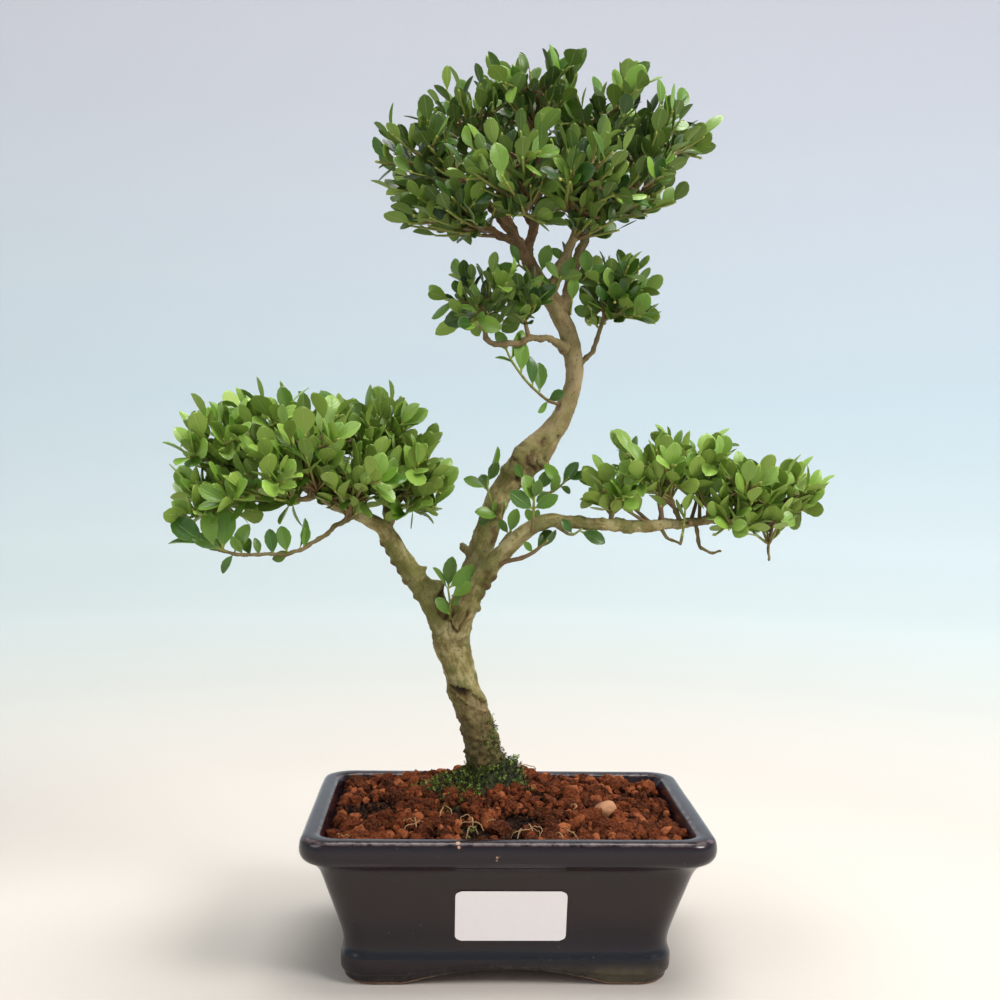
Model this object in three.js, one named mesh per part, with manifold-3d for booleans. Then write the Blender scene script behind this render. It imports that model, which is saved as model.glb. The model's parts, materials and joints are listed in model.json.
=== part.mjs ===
// Japanese holly bonsai in a glazed rectangular pot.
// Millimetres, +Z up. The pot's centre is the drawing's origin and the table is z = 0;
// the finished group is then moved so that its bounding box stands centred on the origin.

import * as THREE from "three";
import { mergeVertices } from "three/addons/utils/BufferGeometryUtils.js";
import Module from "manifold-3d";

const wasm = await Module();
wasm.setup();

// Driving dimensions of the pot
const RIM_HALF_X = 100.6;
const HALF_X_OVER_Y = 30;
const POT_HEIGHT = 76.5;
const POT_FLOOR = 14;
const RECESS_HEIGHT = 8;
const FOOT_WIDTH = 8.5;
const OUTER_CORNER = 14;
const INNER_CORNER = 10;
const CORNER_STEPS = 4;
const DRAIN_X = 40;
const DRAIN_RADIUS = 6;
const FRONT_ARCH_HALF = 50;
const SIDE_ARCH_HALF = 26;
const ARCH_HEIGHT = 7.5;

// Driving dimensions of what the pot holds
const GAP = 0.3;
const GRID = 0.005;
const SCREEN_SIZE = 24;
const SCREEN_THICKNESS = 1.6;
const SCREEN_HOLE = 8;
const SCREEN_PITCH = 10;
const LABEL_X = 1.5;
const LABEL_WIDTH = 54;
const LABEL_BOTTOM = 23;
const LABEL_TOP = 50;
const LABEL_CORNER = 3;
const LABEL_THICKNESS = 0.6;
const SOIL_EDGE = 69;
const SOIL_MOUND = 11;
const SOIL_STEP = 8.4;
const SOIL_GRAIN = 1.7;

// Driving dimensions of the leaves
const LEAF_LENGTH = 14.5;
const LEAF_WIDTH_RATIO = 0.58;
const LEAF_RIDGE = 1.3;
const SHOOT_RADIUS = 1.5;
const SHOOT_TIP_RADIUS = 0.95;
const LEAVES_ON_SHOOT = 3;
const LEAF_CLEARANCE = 6;
const CORE_PART = 0.4;
const GOLDEN_ANGLE = Math.PI * (3 - Math.sqrt(5));
const UP = new THREE.Vector3(0, 0, 1);

// Small helpers

function makeRandom(seed) {
  let state = seed >>> 0;
  return () => {
    state = (Math.imul(state, 1664525) + 1013904223) >>> 0;
    return state / 4294967296;
  };
}

function vector(row) {
  return new THREE.Vector3(row[0], row[1], row[2]);
}

function geometryOf(vertices, triangles) {
  const geometry = new THREE.BufferGeometry();
  geometry.setAttribute("position", new THREE.Float32BufferAttribute(vertices.flat(), 3));
  geometry.setIndex(triangles.flat());
  return geometry;
}

function solidOf(geometry) {
  const bare = geometry.clone();
  bare.deleteAttribute("normal");
  bare.deleteAttribute("uv");
  const merged = mergeVertices(bare, 1e-4);
  const mesh = new wasm.Mesh({
    numProp: 3,
    vertProperties: new Float32Array(merged.attributes.position.array),
    triVerts: new Uint32Array(merged.index.array),
  });
  return new wasm.Manifold(mesh);
}

function largestBody(solid) {
  const bodies = solid.decompose();
  return bodies.reduce((best, body) => (body.volume() > best.volume() ? body : best));
}

// Moves every corner to the nearest grid point, so that slivers left by the cuts close up,
// and keeps the one body that holds together.
function onGrid(solid) {
  const { numProp, vertProperties, triVerts } = solid.getMesh();
  const corners = [];
  for (let i = 0; i < vertProperties.length; i += numProp) {
    corners.push([0, 1, 2].map((axis) => Math.round(vertProperties[i + axis] / GRID) * GRID));
  }
  const numbers = new Map();
  const places = [];
  const renamed = corners.map((corner) => {
    const key = corner.map((value) => Math.round(value / GRID)).join(" ");
    if (!numbers.has(key)) {
      numbers.set(key, places.length);
      places.push(corner);
    }
    return numbers.get(key);
  });
  const triangles = [];
  for (let i = 0; i < triVerts.length; i += 3) {
    const [a, b, c] = [0, 1, 2].map((corner) => renamed[triVerts[i + corner]]);
    if (a !== b && b !== c && c !== a) triangles.push([a, b, c]);
  }
  return largestBody(solidOf(geometryOf(places, triangles)));
}

function meshOf(name, solid, color, roughness, metalness = 0) {
  const { numProp, vertProperties, triVerts } = onGrid(solid).getMesh();
  const positions = [];
  for (let i = 0; i < vertProperties.length; i += numProp) {
    positions.push(vertProperties[i], vertProperties[i + 1], vertProperties[i + 2]);
  }
  const geometry = new THREE.BufferGeometry();
  geometry.setAttribute("position", new THREE.Float32BufferAttribute(positions, 3));
  geometry.setIndex(Array.from(triVerts));
  const material = new THREE.MeshStandardMaterial({ color, roughness, metalness, flatShading: true });
  const mesh = new THREE.Mesh(geometry, material);
  mesh.name = name;
  return mesh;
}

function block(sizeX, sizeY, sizeZ, centre) {
  const geometry = new THREE.BoxGeometry(sizeX, sizeY, sizeZ);
  geometry.translate(...centre);
  return solidOf(geometry);
}

// Joins rings of equal length, bottom first, into a closed skin with a fan at each end.
function skinOf(rings, firstPoint, lastPoint) {
  const count = rings[0].length;
  const vertices = [...rings.flat(), firstPoint, lastPoint];
  const first = rings.length * count;
  const last = first + 1;
  const triangles = [];
  for (let i = 0; i < count; i += 1) {
    const next = (i + 1) % count;
    triangles.push([first, next, i]);
    for (let r = 0; r + 1 < rings.length; r += 1) {
      const low = r * count;
      const high = low + count;
      triangles.push([low + i, low + next, high + next]);
      triangles.push([low + i, high + next, high + i]);
    }
    const top = (rings.length - 1) * count;
    triangles.push([top + i, top + next, last]);
  }
  return solidOf(geometryOf(vertices, triangles));
}

// Pot: one slip-cast stoneware piece, drawn as rounded rectangles from the foot,
// up the outside, over the rim and down the inside to the floor.

function roundedRectangle(halfX, halfY, corner, z) {
  const ring = [];
  for (let quarter = 0; quarter < 4; quarter += 1) {
    const signX = quarter === 0 || quarter === 3 ? 1 : -1;
    const signY = quarter < 2 ? 1 : -1;
    for (let step = 0; step <= CORNER_STEPS; step += 1) {
      const angle = (quarter + step / CORNER_STEPS) * (Math.PI / 2);
      const x = signX * (halfX - corner) + corner * Math.cos(angle);
      const y = signY * (halfY - corner) + corner * Math.sin(angle);
      ring.push([x, y, z]);
    }
  }
  return ring;
}

// Height and half width of the outside, from the foot to the rim's outer edge.
const OUTSIDE = [
  [0, 77.8],
  [1.8, 79.8],
  [5, 80.5],
  [6.5, 81.4],
  [14, 81.5],
  [22, 80.9],
  [34, 84],
  [46, 87.8],
  [57, 91.4],
  [62, 94.8],
  [65, 98.8],
  [69, RIM_HALF_X],
  [74, 100.3],
  [POT_HEIGHT, 98],
];

// Height and half width from the rim's inner edge down to the floor.
const INSIDE = [
  [POT_HEIGHT, 93],
  [74.5, 90.8],
  [60, 84.8],
  [38, 78],
  [18, 74],
  [POT_FLOOR, 69],
];

function wallHalfX(profile, z) {
  const above = profile.findIndex((row, i) => i > 0 && (row[0] - z) * (profile[i - 1][0] - z) <= 0);
  const [z0, x0] = profile[above - 1];
  const [z1, x1] = profile[above];
  return x0 + ((x1 - x0) * (z - z0)) / (z1 - z0);
}

// The arch under each wall is a flat parabola that runs out gently into the feet.
function archSolid(halfWidth, length) {
  const shape = new THREE.Shape();
  shape.moveTo(-halfWidth, -2);
  shape.lineTo(-halfWidth, 0);
  shape.quadraticCurveTo(0, 2 * ARCH_HEIGHT, halfWidth, 0);
  shape.lineTo(halfWidth, -2);
  const geometry = new THREE.ExtrudeGeometry(shape, { depth: length, bevelEnabled: false, curveSegments: 8 });
  geometry.translate(0, 0, -length / 2);
  geometry.rotateX(Math.PI / 2);
  return geometry;
}

function makePot() {
  const outer = OUTSIDE.map(([z, x]) => roundedRectangle(x, x - HALF_X_OVER_Y, OUTER_CORNER, z));
  const inner = INSIDE.map(([z, x]) => roundedRectangle(x, x - HALF_X_OVER_Y, INNER_CORNER, z));
  let pot = skinOf([...outer, ...inner], [0, 0, 0], [0, 0, POT_FLOOR]);
  const recessX = OUTSIDE[0][1] - FOOT_WIDTH;
  const recessRings = [-2, RECESS_HEIGHT].map((z) =>
    roundedRectangle(recessX, recessX - HALF_X_OVER_Y, INNER_CORNER, z));
  pot = pot.subtract(skinOf(recessRings, [0, 0, -2], [0, 0, RECESS_HEIGHT]));
  pot = pot.subtract(solidOf(archSolid(FRONT_ARCH_HALF, 2 * RIM_HALF_X)));
  pot = pot.subtract(solidOf(archSolid(SIDE_ARCH_HALF, 2 * RIM_HALF_X).rotateZ(Math.PI / 2)));
  for (const side of [-1, 1]) {
    const drill = new THREE.CylinderGeometry(DRAIN_RADIUS, DRAIN_RADIUS, POT_FLOOR, 10);
    drill.rotateX(Math.PI / 2);
    drill.translate(side * DRAIN_X, 0, POT_FLOOR);
    pot = pot.subtract(solidOf(drill));
  }
  return pot;
}

// Label: a blank paper sticker that follows the front wall's curve.

function labelOutline() {
  const half = LABEL_WIDTH / 2;
  const rows = [0, 0.35, 1].map((part) => part * LABEL_CORNER);
  const insets = rows.map((rise) => LABEL_CORNER - Math.sqrt(LABEL_CORNER ** 2 - (LABEL_CORNER - rise) ** 2));
  const low = rows.map((rise, i) => [LABEL_BOTTOM + rise, half - insets[i]]);
  const high = rows.map((rise, i) => [LABEL_TOP - rise, half - insets[i]]).reverse();
  const middle = [[34, half], [46, half]];
  return [...low, ...middle, ...high];
}

function makeLabel() {
  const rings = labelOutline().map(([z, half]) => {
    const wall = -(wallHalfX(OUTSIDE, z) - HALF_X_OVER_Y) - 0.2;
    const front = wall - LABEL_THICKNESS;
    const [left, right] = [LABEL_X - half, LABEL_X + half];
    return [[left, front, z], [right, front, z], [right, wall, z], [left, wall, z]];
  });
  const middleOf = (ring) => [LABEL_X, (ring[0][1] + ring[2][1]) / 2, ring[0][2]];
  return skinOf(rings, middleOf(rings[0]), middleOf(rings[rings.length - 1]));
}

// Drain screen: a square of plastic net over each hole in the floor.

function screenSeat(side, grow) {
  const z = POT_FLOOR + GAP + SCREEN_THICKNESS / 2;
  return block(SCREEN_SIZE + grow, SCREEN_SIZE + grow, SCREEN_THICKNESS + grow, [side * DRAIN_X, 0, z]);
}

function makeScreen(side) {
  let screen = screenSeat(side, 0);
  for (const column of [-0.5, 0.5]) {
    for (const row of [-0.5, 0.5]) {
      const centre = [side * DRAIN_X + column * SCREEN_PITCH, row * SCREEN_PITCH, POT_FLOOR];
      screen = screen.subtract(block(SCREEN_HOLE, SCREEN_HOLE, 4 * SCREEN_THICKNESS, centre));
    }
  }
  return screen;
}

// Wood: every limb is a row of hand-chosen stations [x, y, z, radius], from thick to thin.

const TRUNK = [
  [-4, 28, 52, 9],
  [-5, 27.5, 66, 11],
  [-6, 27, 77, 11.8],
  [-8, 26.5, 87, 10.2],
  [-12, 26, 101, 9],
  [-16, 25.5, 116, 8.5],
  [-20, 24.5, 128, 9],
  [-24, 23.5, 140, 8.5],
  [-27.5, 22, 152, 8.9],
  [-30, 20.5, 163, 9.6],
  [-31, 20, 170, 6],
];

const UPPER_TRUNK = [
  [-28, 21, 156, 8.2],
  [-24, 20, 174, 7.6],
  [-18, 19, 194, 6.9],
  [-13, 18, 212, 6.6],
  [-8, 16, 228, 6.2],
  [-2.5, 14.5, 241, 6.5],
  [5, 13, 251, 7.4],
  [13, 12, 259.5, 8.7],
  [20, 11, 268, 7],
  [26, 10.5, 277, 5.6],
  [31, 10, 288, 5],
  [34, 9, 299, 4.6],
  [33.5, 8, 309, 4.7],
  [31, 7, 320, 4.6],
  [27, 5.5, 330, 4.8],
  [22.5, 4, 338, 4.9],
  [17, 3, 346, 4.3],
];

const LEFT_LIMB = [
  [-29.5, 21, 160, 8],
  [-36, 17.5, 174, 7.2],
  [-42, 14, 184, 6.4],
  [-49, 10, 195, 5.5],
  [-56, 6, 205, 5],
  [-62, 2, 215, 4.6],
  [-67, -2, 222, 4],
  [-79, -8, 228, 3.2],
  [-90, -13, 234, 2.7],
  [-102, -17, 241, 2.2],
  [-122, -14, 252, 1.8],
  [-148, -9, 262, 1.3],
];

const RIGHT_LIMB = [
  [-27, 18, 164, 6.3],
  [-23, 12, 175, 5.9],
  [-18, 6, 187, 5.3],
  [-12, 1.5, 197, 4.9],
  [-4, -3, 207, 4.7],
  [4, -7, 216, 4.4],
  [12, -10, 222.5, 4],
  [21, -12, 226, 3.6],
  [34, -14, 225, 3.2],
  [50, -15, 224.5, 3.1],
  [68, -15, 224, 3],
  [86, -13, 225, 2.6],
  [102, -11, 227, 2.2],
  [118, -9, 228, 1.9],
  [132, -8, 229, 1.5],
  [145, -8, 236, 1.1],
];

const CROWN_LIMBS = [
  [[18, 3, 344, 4.2], [13, 2, 352, 3.9], [7, 0, 362, 3.4], [2, -2, 370, 2.9], [-9, -2, 384, 2.3],
    [-24, -1, 399, 1.8], [-44, 0, 411, 1.2]],
  [[2, -2, 369, 2.5], [-3, -1, 383, 2.2], [-10, 2, 402, 1.8], [-23, 6, 436, 1.2]],
  [[5, -1, 365, 2.4], [-4, -7, 370, 2.2], [-14, -12, 375, 1.8], [-33, -14, 385, 1.2]],
  [[8, 1, 358, 3], [9, 6, 370, 2.6], [12, 9, 382, 2.4], [13, 8, 402, 2.1], [12, 0, 447, 1.2]],
  [[11, 8, 378, 2.2], [6, 20, 392, 1.9], [-6, 42, 440, 1.1]],
  [[12, 9, 385, 2], [24, 26, 400, 1.8], [49, 44, 436, 1.1]],
  [[27, 5, 331, 3.6], [29.5, 6, 343, 3.1], [32, 6, 355, 2.7], [38, 4, 372, 2.3], [48, 1, 387, 2],
    [61, 0, 403, 1.7], [74, 4, 425, 1.1]],
  [[38, 4, 371, 2], [41, 1, 392, 1.8], [46, -4, 432, 1.1]],
  [[52, 1, 391, 1.7], [64, -12, 399, 1.1]],
  [[20, 3, 344, 3.1], [25, -4, 357, 2.6], [29.5, -10, 366, 2.3], [32, -20, 380, 1.9], [31, -38, 401, 1.2]],
  [[32, -19, 379, 1.7], [16, -30, 390, 1.5], [-3, -42, 405, 1.1]],
];

const SIDE_LIMBS = [
  [[-64, 1, 216, 3.2], [-63, 4, 227, 2.8], [-65, 8, 240, 2.3], [-72, 8, 272, 1.2]],
  [[-65, 6, 236, 1.8], [-58, -2, 243, 1.5], [-51, -7, 251, 1]],
  [[-92, -14, 235, 2], [-100, -4, 248, 1.7], [-103, 20, 264, 1.1]],
  [[-98, -15, 238, 1.9], [-108, -24, 236, 1.7], [-123, -34, 243, 1.1]],
  [[-78, -8, 227, 2], [-87, -19, 223, 1.7], [-94, -27, 216, 1.5], [-104, -32, 211, 1.4],
    [-117, -36, 208, 1.2], [-131, -38, 208.5, 1.1], [-143, -38, 210.5, 1]],
  [[31, 7, 316, 2.9], [24, 0, 318, 2.5], [17, -6, 319, 2.3], [6, -12, 317.5, 2.1], [-4, -16, 315.5, 2],
    [-13, -18, 317, 1.8], [-17, -20, 335, 1.2]],
  [[34, 8, 305, 2.4], [41, 11, 313, 2], [47, 12, 323, 1.7], [53, 8, 345, 1.1]],
  [[28, 9, 284, 1.8], [20, 2, 287, 1.5], [14, -4, 292, 1.3], [6, -9, 300, 1.2]],
  [[-18, 18, 205, 2.4], [-24, 15, 210, 1.9], [-28, 13, 215, 1.3]],
  [[77, -14, 223, 1.5], [82, -16, 217, 1.1], [87, -18, 215, 0.8]],
  [[96, -12, 226, 1.5], [99, -17, 213, 1.1], [107, -22, 212, 0.8]],
  [[133, -8, 229, 1.4], [136, -10, 220, 1.1], [134, -13, 207, 0.8]],
  [[88, -13, 226, 1.7], [82, -14, 240, 1.4], [75, -14, 252, 1]],
  [[103, -11, 228, 1.7], [104, -4, 240, 1.4], [102, 4, 251, 1]],
  [[116, -9, 229, 1.5], [119, -13, 237, 1.2], [120, -16, 243, 0.9]],
];

const ROOTS = [
  [[-6, 28, 64, 6.5], [-24, 22, 52, 4.2], [-44, 8, 38, 2.6], [-56, -8, 28, 1.5]],
  [[-4, 26, 64, 6], [-2, 8, 50, 3.8], [4, -12, 36, 2.4], [16, -24, 26, 1.4]],
  [[-2, 28, 64, 6.3], [18, 24, 52, 4], [38, 12, 38, 2.5], [54, -4, 28, 1.5]],
  [[-6, 30, 66, 5.5], [-14, 40, 52, 3.4], [-30, 40, 36, 2], [-44, 34, 26, 1.3]],
];

function sidesFor(radius) {
  if (radius > 8.1) return 8;
  if (radius > 6.4) return 7;
  return radius > 3.3 ? 5 : 4;
}

// Bark swells and furrows around and along a limb, and the trunk's foot spreads into its roots.
function barkRadius(radius, angle, z) {
  const furrow = 0.05 * Math.sin(3 * angle + 0.19 * z) + 0.035 * Math.sin(5 * angle - 0.31 * z);
  const foot = THREE.MathUtils.clamp((94 - z) / 20, 0, 1) * (radius > 7 ? 1 : 0);
  const flare = 0.3 * foot * (0.5 + 0.5 * Math.cos(4 * angle + 0.6));
  return radius * (1 + (radius > 2.5 ? furrow : 0) + flare);
}

function makeLimb(stations, grow) {
  const sides = sidesFor(stations[0][3]);
  const points = stations.map(vector);
  const rings = [];
  let across = new THREE.Vector3(0, -1, 0);
  points.forEach((point, i) => {
    const before = points[Math.max(i - 1, 0)];
    const after = points[Math.min(i + 1, points.length - 1)];
    const along = after.clone().sub(before).normalize();
    across = across.clone().addScaledVector(along, -across.dot(along)).normalize();
    const beside = along.clone().cross(across);
    const ring = [];
    for (let side = 0; side < sides; side += 1) {
      const angle = (side / sides) * 2 * Math.PI;
      const radius = barkRadius(stations[i][3], angle, point.z) + grow;
      const corner = point.clone();
      corner.addScaledVector(across, radius * Math.cos(angle));
      corner.addScaledVector(beside, radius * Math.sin(angle));
      ring.push(corner.toArray());
    }
    rings.push(ring);
  });
  const last = points.length - 1;
  const start = points[0].clone().sub(points[1]).setLength(0.3 + grow).add(points[0]);
  const reach = stations[last][3] * 0.6 + grow;
  const end = points[last].clone().sub(points[last - 1]).setLength(reach).add(points[last]);
  return skinOf(rings, start.toArray(), end.toArray());
}

function makeWood(grow) {
  const limbs = [TRUNK, UPPER_TRUNK, LEFT_LIMB, RIGHT_LIMB, ...CROWN_LIMBS, ...SIDE_LIMBS, ...ROOTS];
  return wasm.Manifold.union(limbs.map((stations) => makeLimb(stations, grow)));
}

// Soil: a bed whose top is raised into grains by a seeded rule on an uneven grid,
// and moss, raised from the same grid around the trunk's foot.

function moundHeight(x, y) {
  const rise = Math.exp(-(((x + 8) / 58) ** 2) - (((y - 24) / 40) ** 2));
  const roll = 0.9 * Math.sin(0.07 * x + 0.4) * Math.cos(0.09 * y);
  return SOIL_EDGE + SOIL_MOUND * rise + roll;
}

function mossHeight(x, y, draw) {
  const dx = x + 16;
  const dy = y - 21;
  const edge = 1 + 0.22 * Math.sin(3 * Math.atan2(dy, dx) + 0.8);
  const nearness = 1 - Math.hypot(dx / 27, dy / 18) / edge;
  return nearness > 0 ? 1.4 + 3.4 * nearness * (0.5 + draw) : -2;
}

function makeBed(raise) {
  const draw = makeRandom(41);
  const columns = Math.ceil(196 / SOIL_STEP);
  const rows = Math.ceil(136 / (SOIL_STEP * 0.87));
  const vertices = [];
  const triangles = [];
  const at = (i, j) => j * (columns + 1) + i;
  for (let j = 0; j <= rows; j += 1) {
    for (let i = 0; i <= columns; i += 1) {
      const x = (i - columns / 2 + (j % 2) / 2 + 0.5 * (draw() - 0.5)) * SOIL_STEP;
      const y = ((j - rows / 2) * 0.87 + 0.5 * (draw() - 0.5)) * SOIL_STEP;
      const grain = SOIL_GRAIN * (2 * draw() - 1);
      vertices.push([x, y, moundHeight(x, y) + grain + raise(x, y, draw())]);
    }
  }
  for (let j = 0; j < rows; j += 1) {
    for (let i = 0; i < columns; i += 1) {
      const [a, b, c, d] = [at(i, j), at(i + 1, j), at(i, j + 1), at(i + 1, j + 1)];
      triangles.push(j % 2 === 0 ? [a, b, c] : [a, b, d]);
      triangles.push(j % 2 === 0 ? [b, d, c] : [a, d, c]);
    }
  }
  const border = [];
  for (let i = 0; i < columns; i += 1) border.push(at(i, 0));
  for (let j = 0; j < rows; j += 1) border.push(at(columns, j));
  for (let i = columns; i > 0; i -= 1) border.push(at(i, rows));
  for (let j = rows; j > 0; j -= 1) border.push(at(0, j));
  const lowest = vertices.length;
  border.forEach((corner) => vertices.push([vertices[corner][0], vertices[corner][1], 0]));
  vertices.push([0, 0, 0]);
  border.forEach((corner, i) => {
    const next = (i + 1) % border.length;
    triangles.push([border[next], corner, lowest + i]);
    triangles.push([border[next], lowest + i, lowest + next]);
    triangles.push([lowest + next, lowest + i, vertices.length - 1]);
  });
  return solidOf(geometryOf(vertices, triangles));
}

function makeCavity() {
  const rings = INSIDE.slice(1).reverse().map(([z, x]) => {
    const halfX = x - GAP - 0.1;
    const height = z === POT_FLOOR ? z + GAP : z;
    return roundedRectangle(halfX, halfX - HALF_X_OVER_Y, INNER_CORNER, height);
  });
  const mouth = rings[rings.length - 1].map(([x, y, z]) => [x, y, z + 20]);
  return skinOf([...rings, mouth], [0, 0, rings[0][0][2]], [0, 0, mouth[0][2]]);
}

// Pebble: one tan stone lying half sunk in the soil, right of the trunk.

const PEBBLE_PLACE = [53, -2, 73.6];
const PEBBLE_RADII = [6.4, 4.6, 3.6];
const PEBBLE_TURN = 0.5;

function makePebble(grow) {
  const geometry = new THREE.IcosahedronGeometry(1, 1);
  geometry.scale(...PEBBLE_RADII.map((radius) => radius + grow));
  geometry.rotateZ(PEBBLE_TURN);
  geometry.translate(...PEBBLE_PLACE);
  return solidOf(geometry);
}

// Leaf: a flat underside and a midrib ridge, its root sunk in the shoot.
// Rows are [along, across] as parts of the length and of half the width.
const LEAF_EDGE = [
  [0.38, 0.76],
  [0.8, 0.92],
];

function makeLeaf({ base, along, face, length }) {
  const width = length * LEAF_WIDTH_RATIO;
  const side = along.clone().cross(face);
  const place = (u, v, h) => {
    const point = base.clone().addScaledVector(along, u * length);
    return point.addScaledVector(side, (v * width) / 2).addScaledVector(face, h).toArray();
  };
  const going = LEAF_EDGE.map(([u, v]) => place(u, v, 0));
  const coming = LEAF_EDGE.map(([u, v]) => place(u, -v, 0)).reverse();
  const ridge = [place(0.12, 0, LEAF_RIDGE), place(0.62, 0, LEAF_RIDGE)];
  const vertices = [place(0, 0, 0), ...going, place(1, 0, 0), ...coming, ...ridge];
  const [low, high] = [6, 7];
  const triangles = [[0, 1, low], [1, high, low], [5, low, high], [5, 0, low]];
  for (let i = 1; i < 5; i += 1) triangles.push([i, i + 1, high]);
  triangles.push([0, 5, 1], [1, 5, 4], [1, 4, 2], [2, 4, 3]);
  return solidOf(geometryOf(vertices, triangles));
}

function makeShoot(base, tip) {
  const along = tip.clone().sub(base).normalize();
  const across = Math.abs(along.z) < 0.9 ? UP.clone() : new THREE.Vector3(1, 0, 0);
  across.addScaledVector(along, -across.dot(along)).normalize();
  const beside = along.clone().cross(across);
  const vertices = [];
  for (const [centre, radius] of [[base, SHOOT_RADIUS], [tip, SHOOT_TIP_RADIUS]]) {
    for (let side = 0; side < 3; side += 1) {
      const angle = (side / 3) * 2 * Math.PI;
      const corner = centre.clone().addScaledVector(across, radius * Math.cos(angle));
      vertices.push(corner.addScaledVector(beside, radius * Math.sin(angle)).toArray());
    }
  }
  const triangles = [[0, 2, 1], [3, 4, 5], [0, 1, 4], [0, 4, 3], [1, 2, 5], [1, 5, 4], [2, 0, 3], [2, 3, 5]];
  return solidOf(geometryOf(vertices, triangles));
}

// Heads of foliage. A clump is the ball of shoots at the end of a branch:
// its centre, its three radii to the shoot tips, and how many shoots are tried.
const HEADS = [
  {
    name: "crown_leaves",
    seed: 11,
    clumps: [
      { at: [12, 0, 446], radii: [26, 38, 19], shoots: 8 },
      { at: [-47, 0, 409], radii: [24, 30, 20], shoots: 8 },
      { at: [-34, -14, 378], radii: [20, 22, 13], shoots: 7 },
      { at: [-22, 6, 432], radii: [24, 34, 19], shoots: 7 },
      { at: [46, -4, 433], radii: [25, 34, 19], shoots: 7 },
      { at: [75, 4, 424], radii: [24, 30, 19], shoots: 8 },
      { at: [64, -12, 394], radii: [20, 24, 15], shoots: 6 },
      { at: [-3, -40, 397], radii: [24, 24, 20], shoots: 7 },
      { at: [33, -40, 395], radii: [24, 24, 20], shoots: 7 },
      { at: [-6, 42, 434], radii: [28, 26, 20], shoots: 7 },
      { at: [49, 44, 430], radii: [26, 26, 20], shoots: 7 },
      { at: [21, 26, 399], radii: [24, 26, 15], shoots: 2 },
    ],
  },
  {
    name: "left_pad_leaves",
    seed: 23,
    clumps: [
      { at: [-151, -8, 260], radii: [18, 24, 16], shoots: 7 },
      { at: [-145, -20, 233], radii: [18, 22, 13], shoots: 6 },
      { at: [-125, 4, 271], radii: [22, 28, 18], shoots: 6 },
      { at: [-100, -30, 260], radii: [22, 22, 18], shoots: 7 },
      { at: [-103, 22, 262], radii: [24, 24, 17], shoots: 6 },
      { at: [-72, 8, 269], radii: [21, 26, 17], shoots: 7 },
      { at: [-51, -7, 249], radii: [18, 22, 17], shoots: 7 },
      { at: [-121, -34, 242], radii: [22, 20, 16], shoots: 6 },
      { at: [-76, -26, 245], radii: [18, 18, 12], shoots: 5 },
    ],
  },
  {
    name: "right_pad_inner_leaves",
    seed: 37,
    clumps: [
      { at: [53, -14, 240], radii: [12, 14, 9], shoots: 4 },
      { at: [75, -14, 251], radii: [17, 22, 15], shoots: 7 },
      { at: [101, 4, 252], radii: [19, 24, 16], shoots: 8 },
    ],
  },
  {
    name: "right_pad_outer_leaves",
    seed: 43,
    clumps: [
      { at: [120, -16, 243], radii: [15, 20, 15], shoots: 7 },
      { at: [144, -8, 239], radii: [14, 17, 13], shoots: 7 },
    ],
  },
  {
    name: "middle_left_leaves",
    seed: 53,
    clumps: [
      { at: [-16, -20, 336], radii: [19, 22, 19], shoots: 9 },
      { at: [5, -15, 334], radii: [12, 14, 13], shoots: 5 },
    ],
  },
  {
    name: "middle_right_leaves",
    seed: 61,
    clumps: [{ at: [54, 8, 343], radii: [18, 22, 22], shoots: 12 }],
  },
];

// Shoots that stand alone on the bark or on a twig: where they start, where they end, their leaves.
const SPRIGS = [
  { name: "crotch_leaves", seed: 71, stems: [[-30, 12.5, 168, -31, 3, 190], [-30, 12, 170, -24, 2, 184]] },
  { name: "trunk_left_leaves", seed: 73, stems: [[-13.5, 11, 232, -14, 1, 250], [-12, 10, 232, -20, 2, 240]] },
  { name: "trunk_right_leaves", seed: 79, stems: [[9, 8, 248, 32, -4, 250], [9, 8, 248, 24, -6, 243]] },
  { name: "trunk_front_leaves", seed: 83, stems: [[9, -14, 222, 12, -18, 238]] },
  { name: "small_shoot_leaves", seed: 89, stems: [[8, -10, 303, -3, -15, 315], [12, -6, 298, 12, -8, 309]] },
  { name: "under_limb_leaves", seed: 97, stems: [[-2, -9, 203, 15, -17, 214]] },
  {
    name: "drooping_spray_leaves",
    seed: 101,
    stems: [
      [-98, -33, 214, -108, -38, 217],
      [-118, -39, 207, -128, -44, 203],
      [-130, -41, 209, -140, -45, 215],
      [-143, -41, 210, -155, -41, 214],
    ],
  },
];

function placeLeaves(base, tip, count, draw, taken) {
  const axis = tip.clone().sub(base);
  const along = axis.clone().normalize();
  const across = UP.clone().cross(along).normalize();
  const leaves = [];
  for (let i = 0; i < count; i += 1) {
    const part = count === 1 ? 1 : 0.42 + (0.58 * i) / (count - 1);
    const turn = i * GOLDEN_ANGLE + 6.283 * draw();
    const tilt = (i === count - 1 ? 0.35 : 0.95) + 0.3 * (draw() - 0.5);
    const length = LEAF_LENGTH * (0.8 + 0.4 * draw());
    const side = across.clone().applyAxisAngle(along, turn);
    const direction = along.clone().multiplyScalar(Math.cos(tilt)).addScaledVector(side, Math.sin(tilt));
    direction.addScaledVector(UP, 0.28).normalize();
    const face = along.clone().addScaledVector(UP, 0.6);
    face.addScaledVector(direction, -face.dot(direction)).normalize();
    const root = base.clone().addScaledVector(axis, part);
    const spots = [0.45, 0.85].map((u) => root.clone().addScaledVector(direction, u * length));
    const free = spots.every((spot) => taken.every((other) => spot.distanceTo(other) > LEAF_CLEARANCE));
    if (free) {
      taken.push(...spots);
      leaves.push({ base: root, along: direction, face, length });
    }
  }
  return leaves;
}

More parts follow.
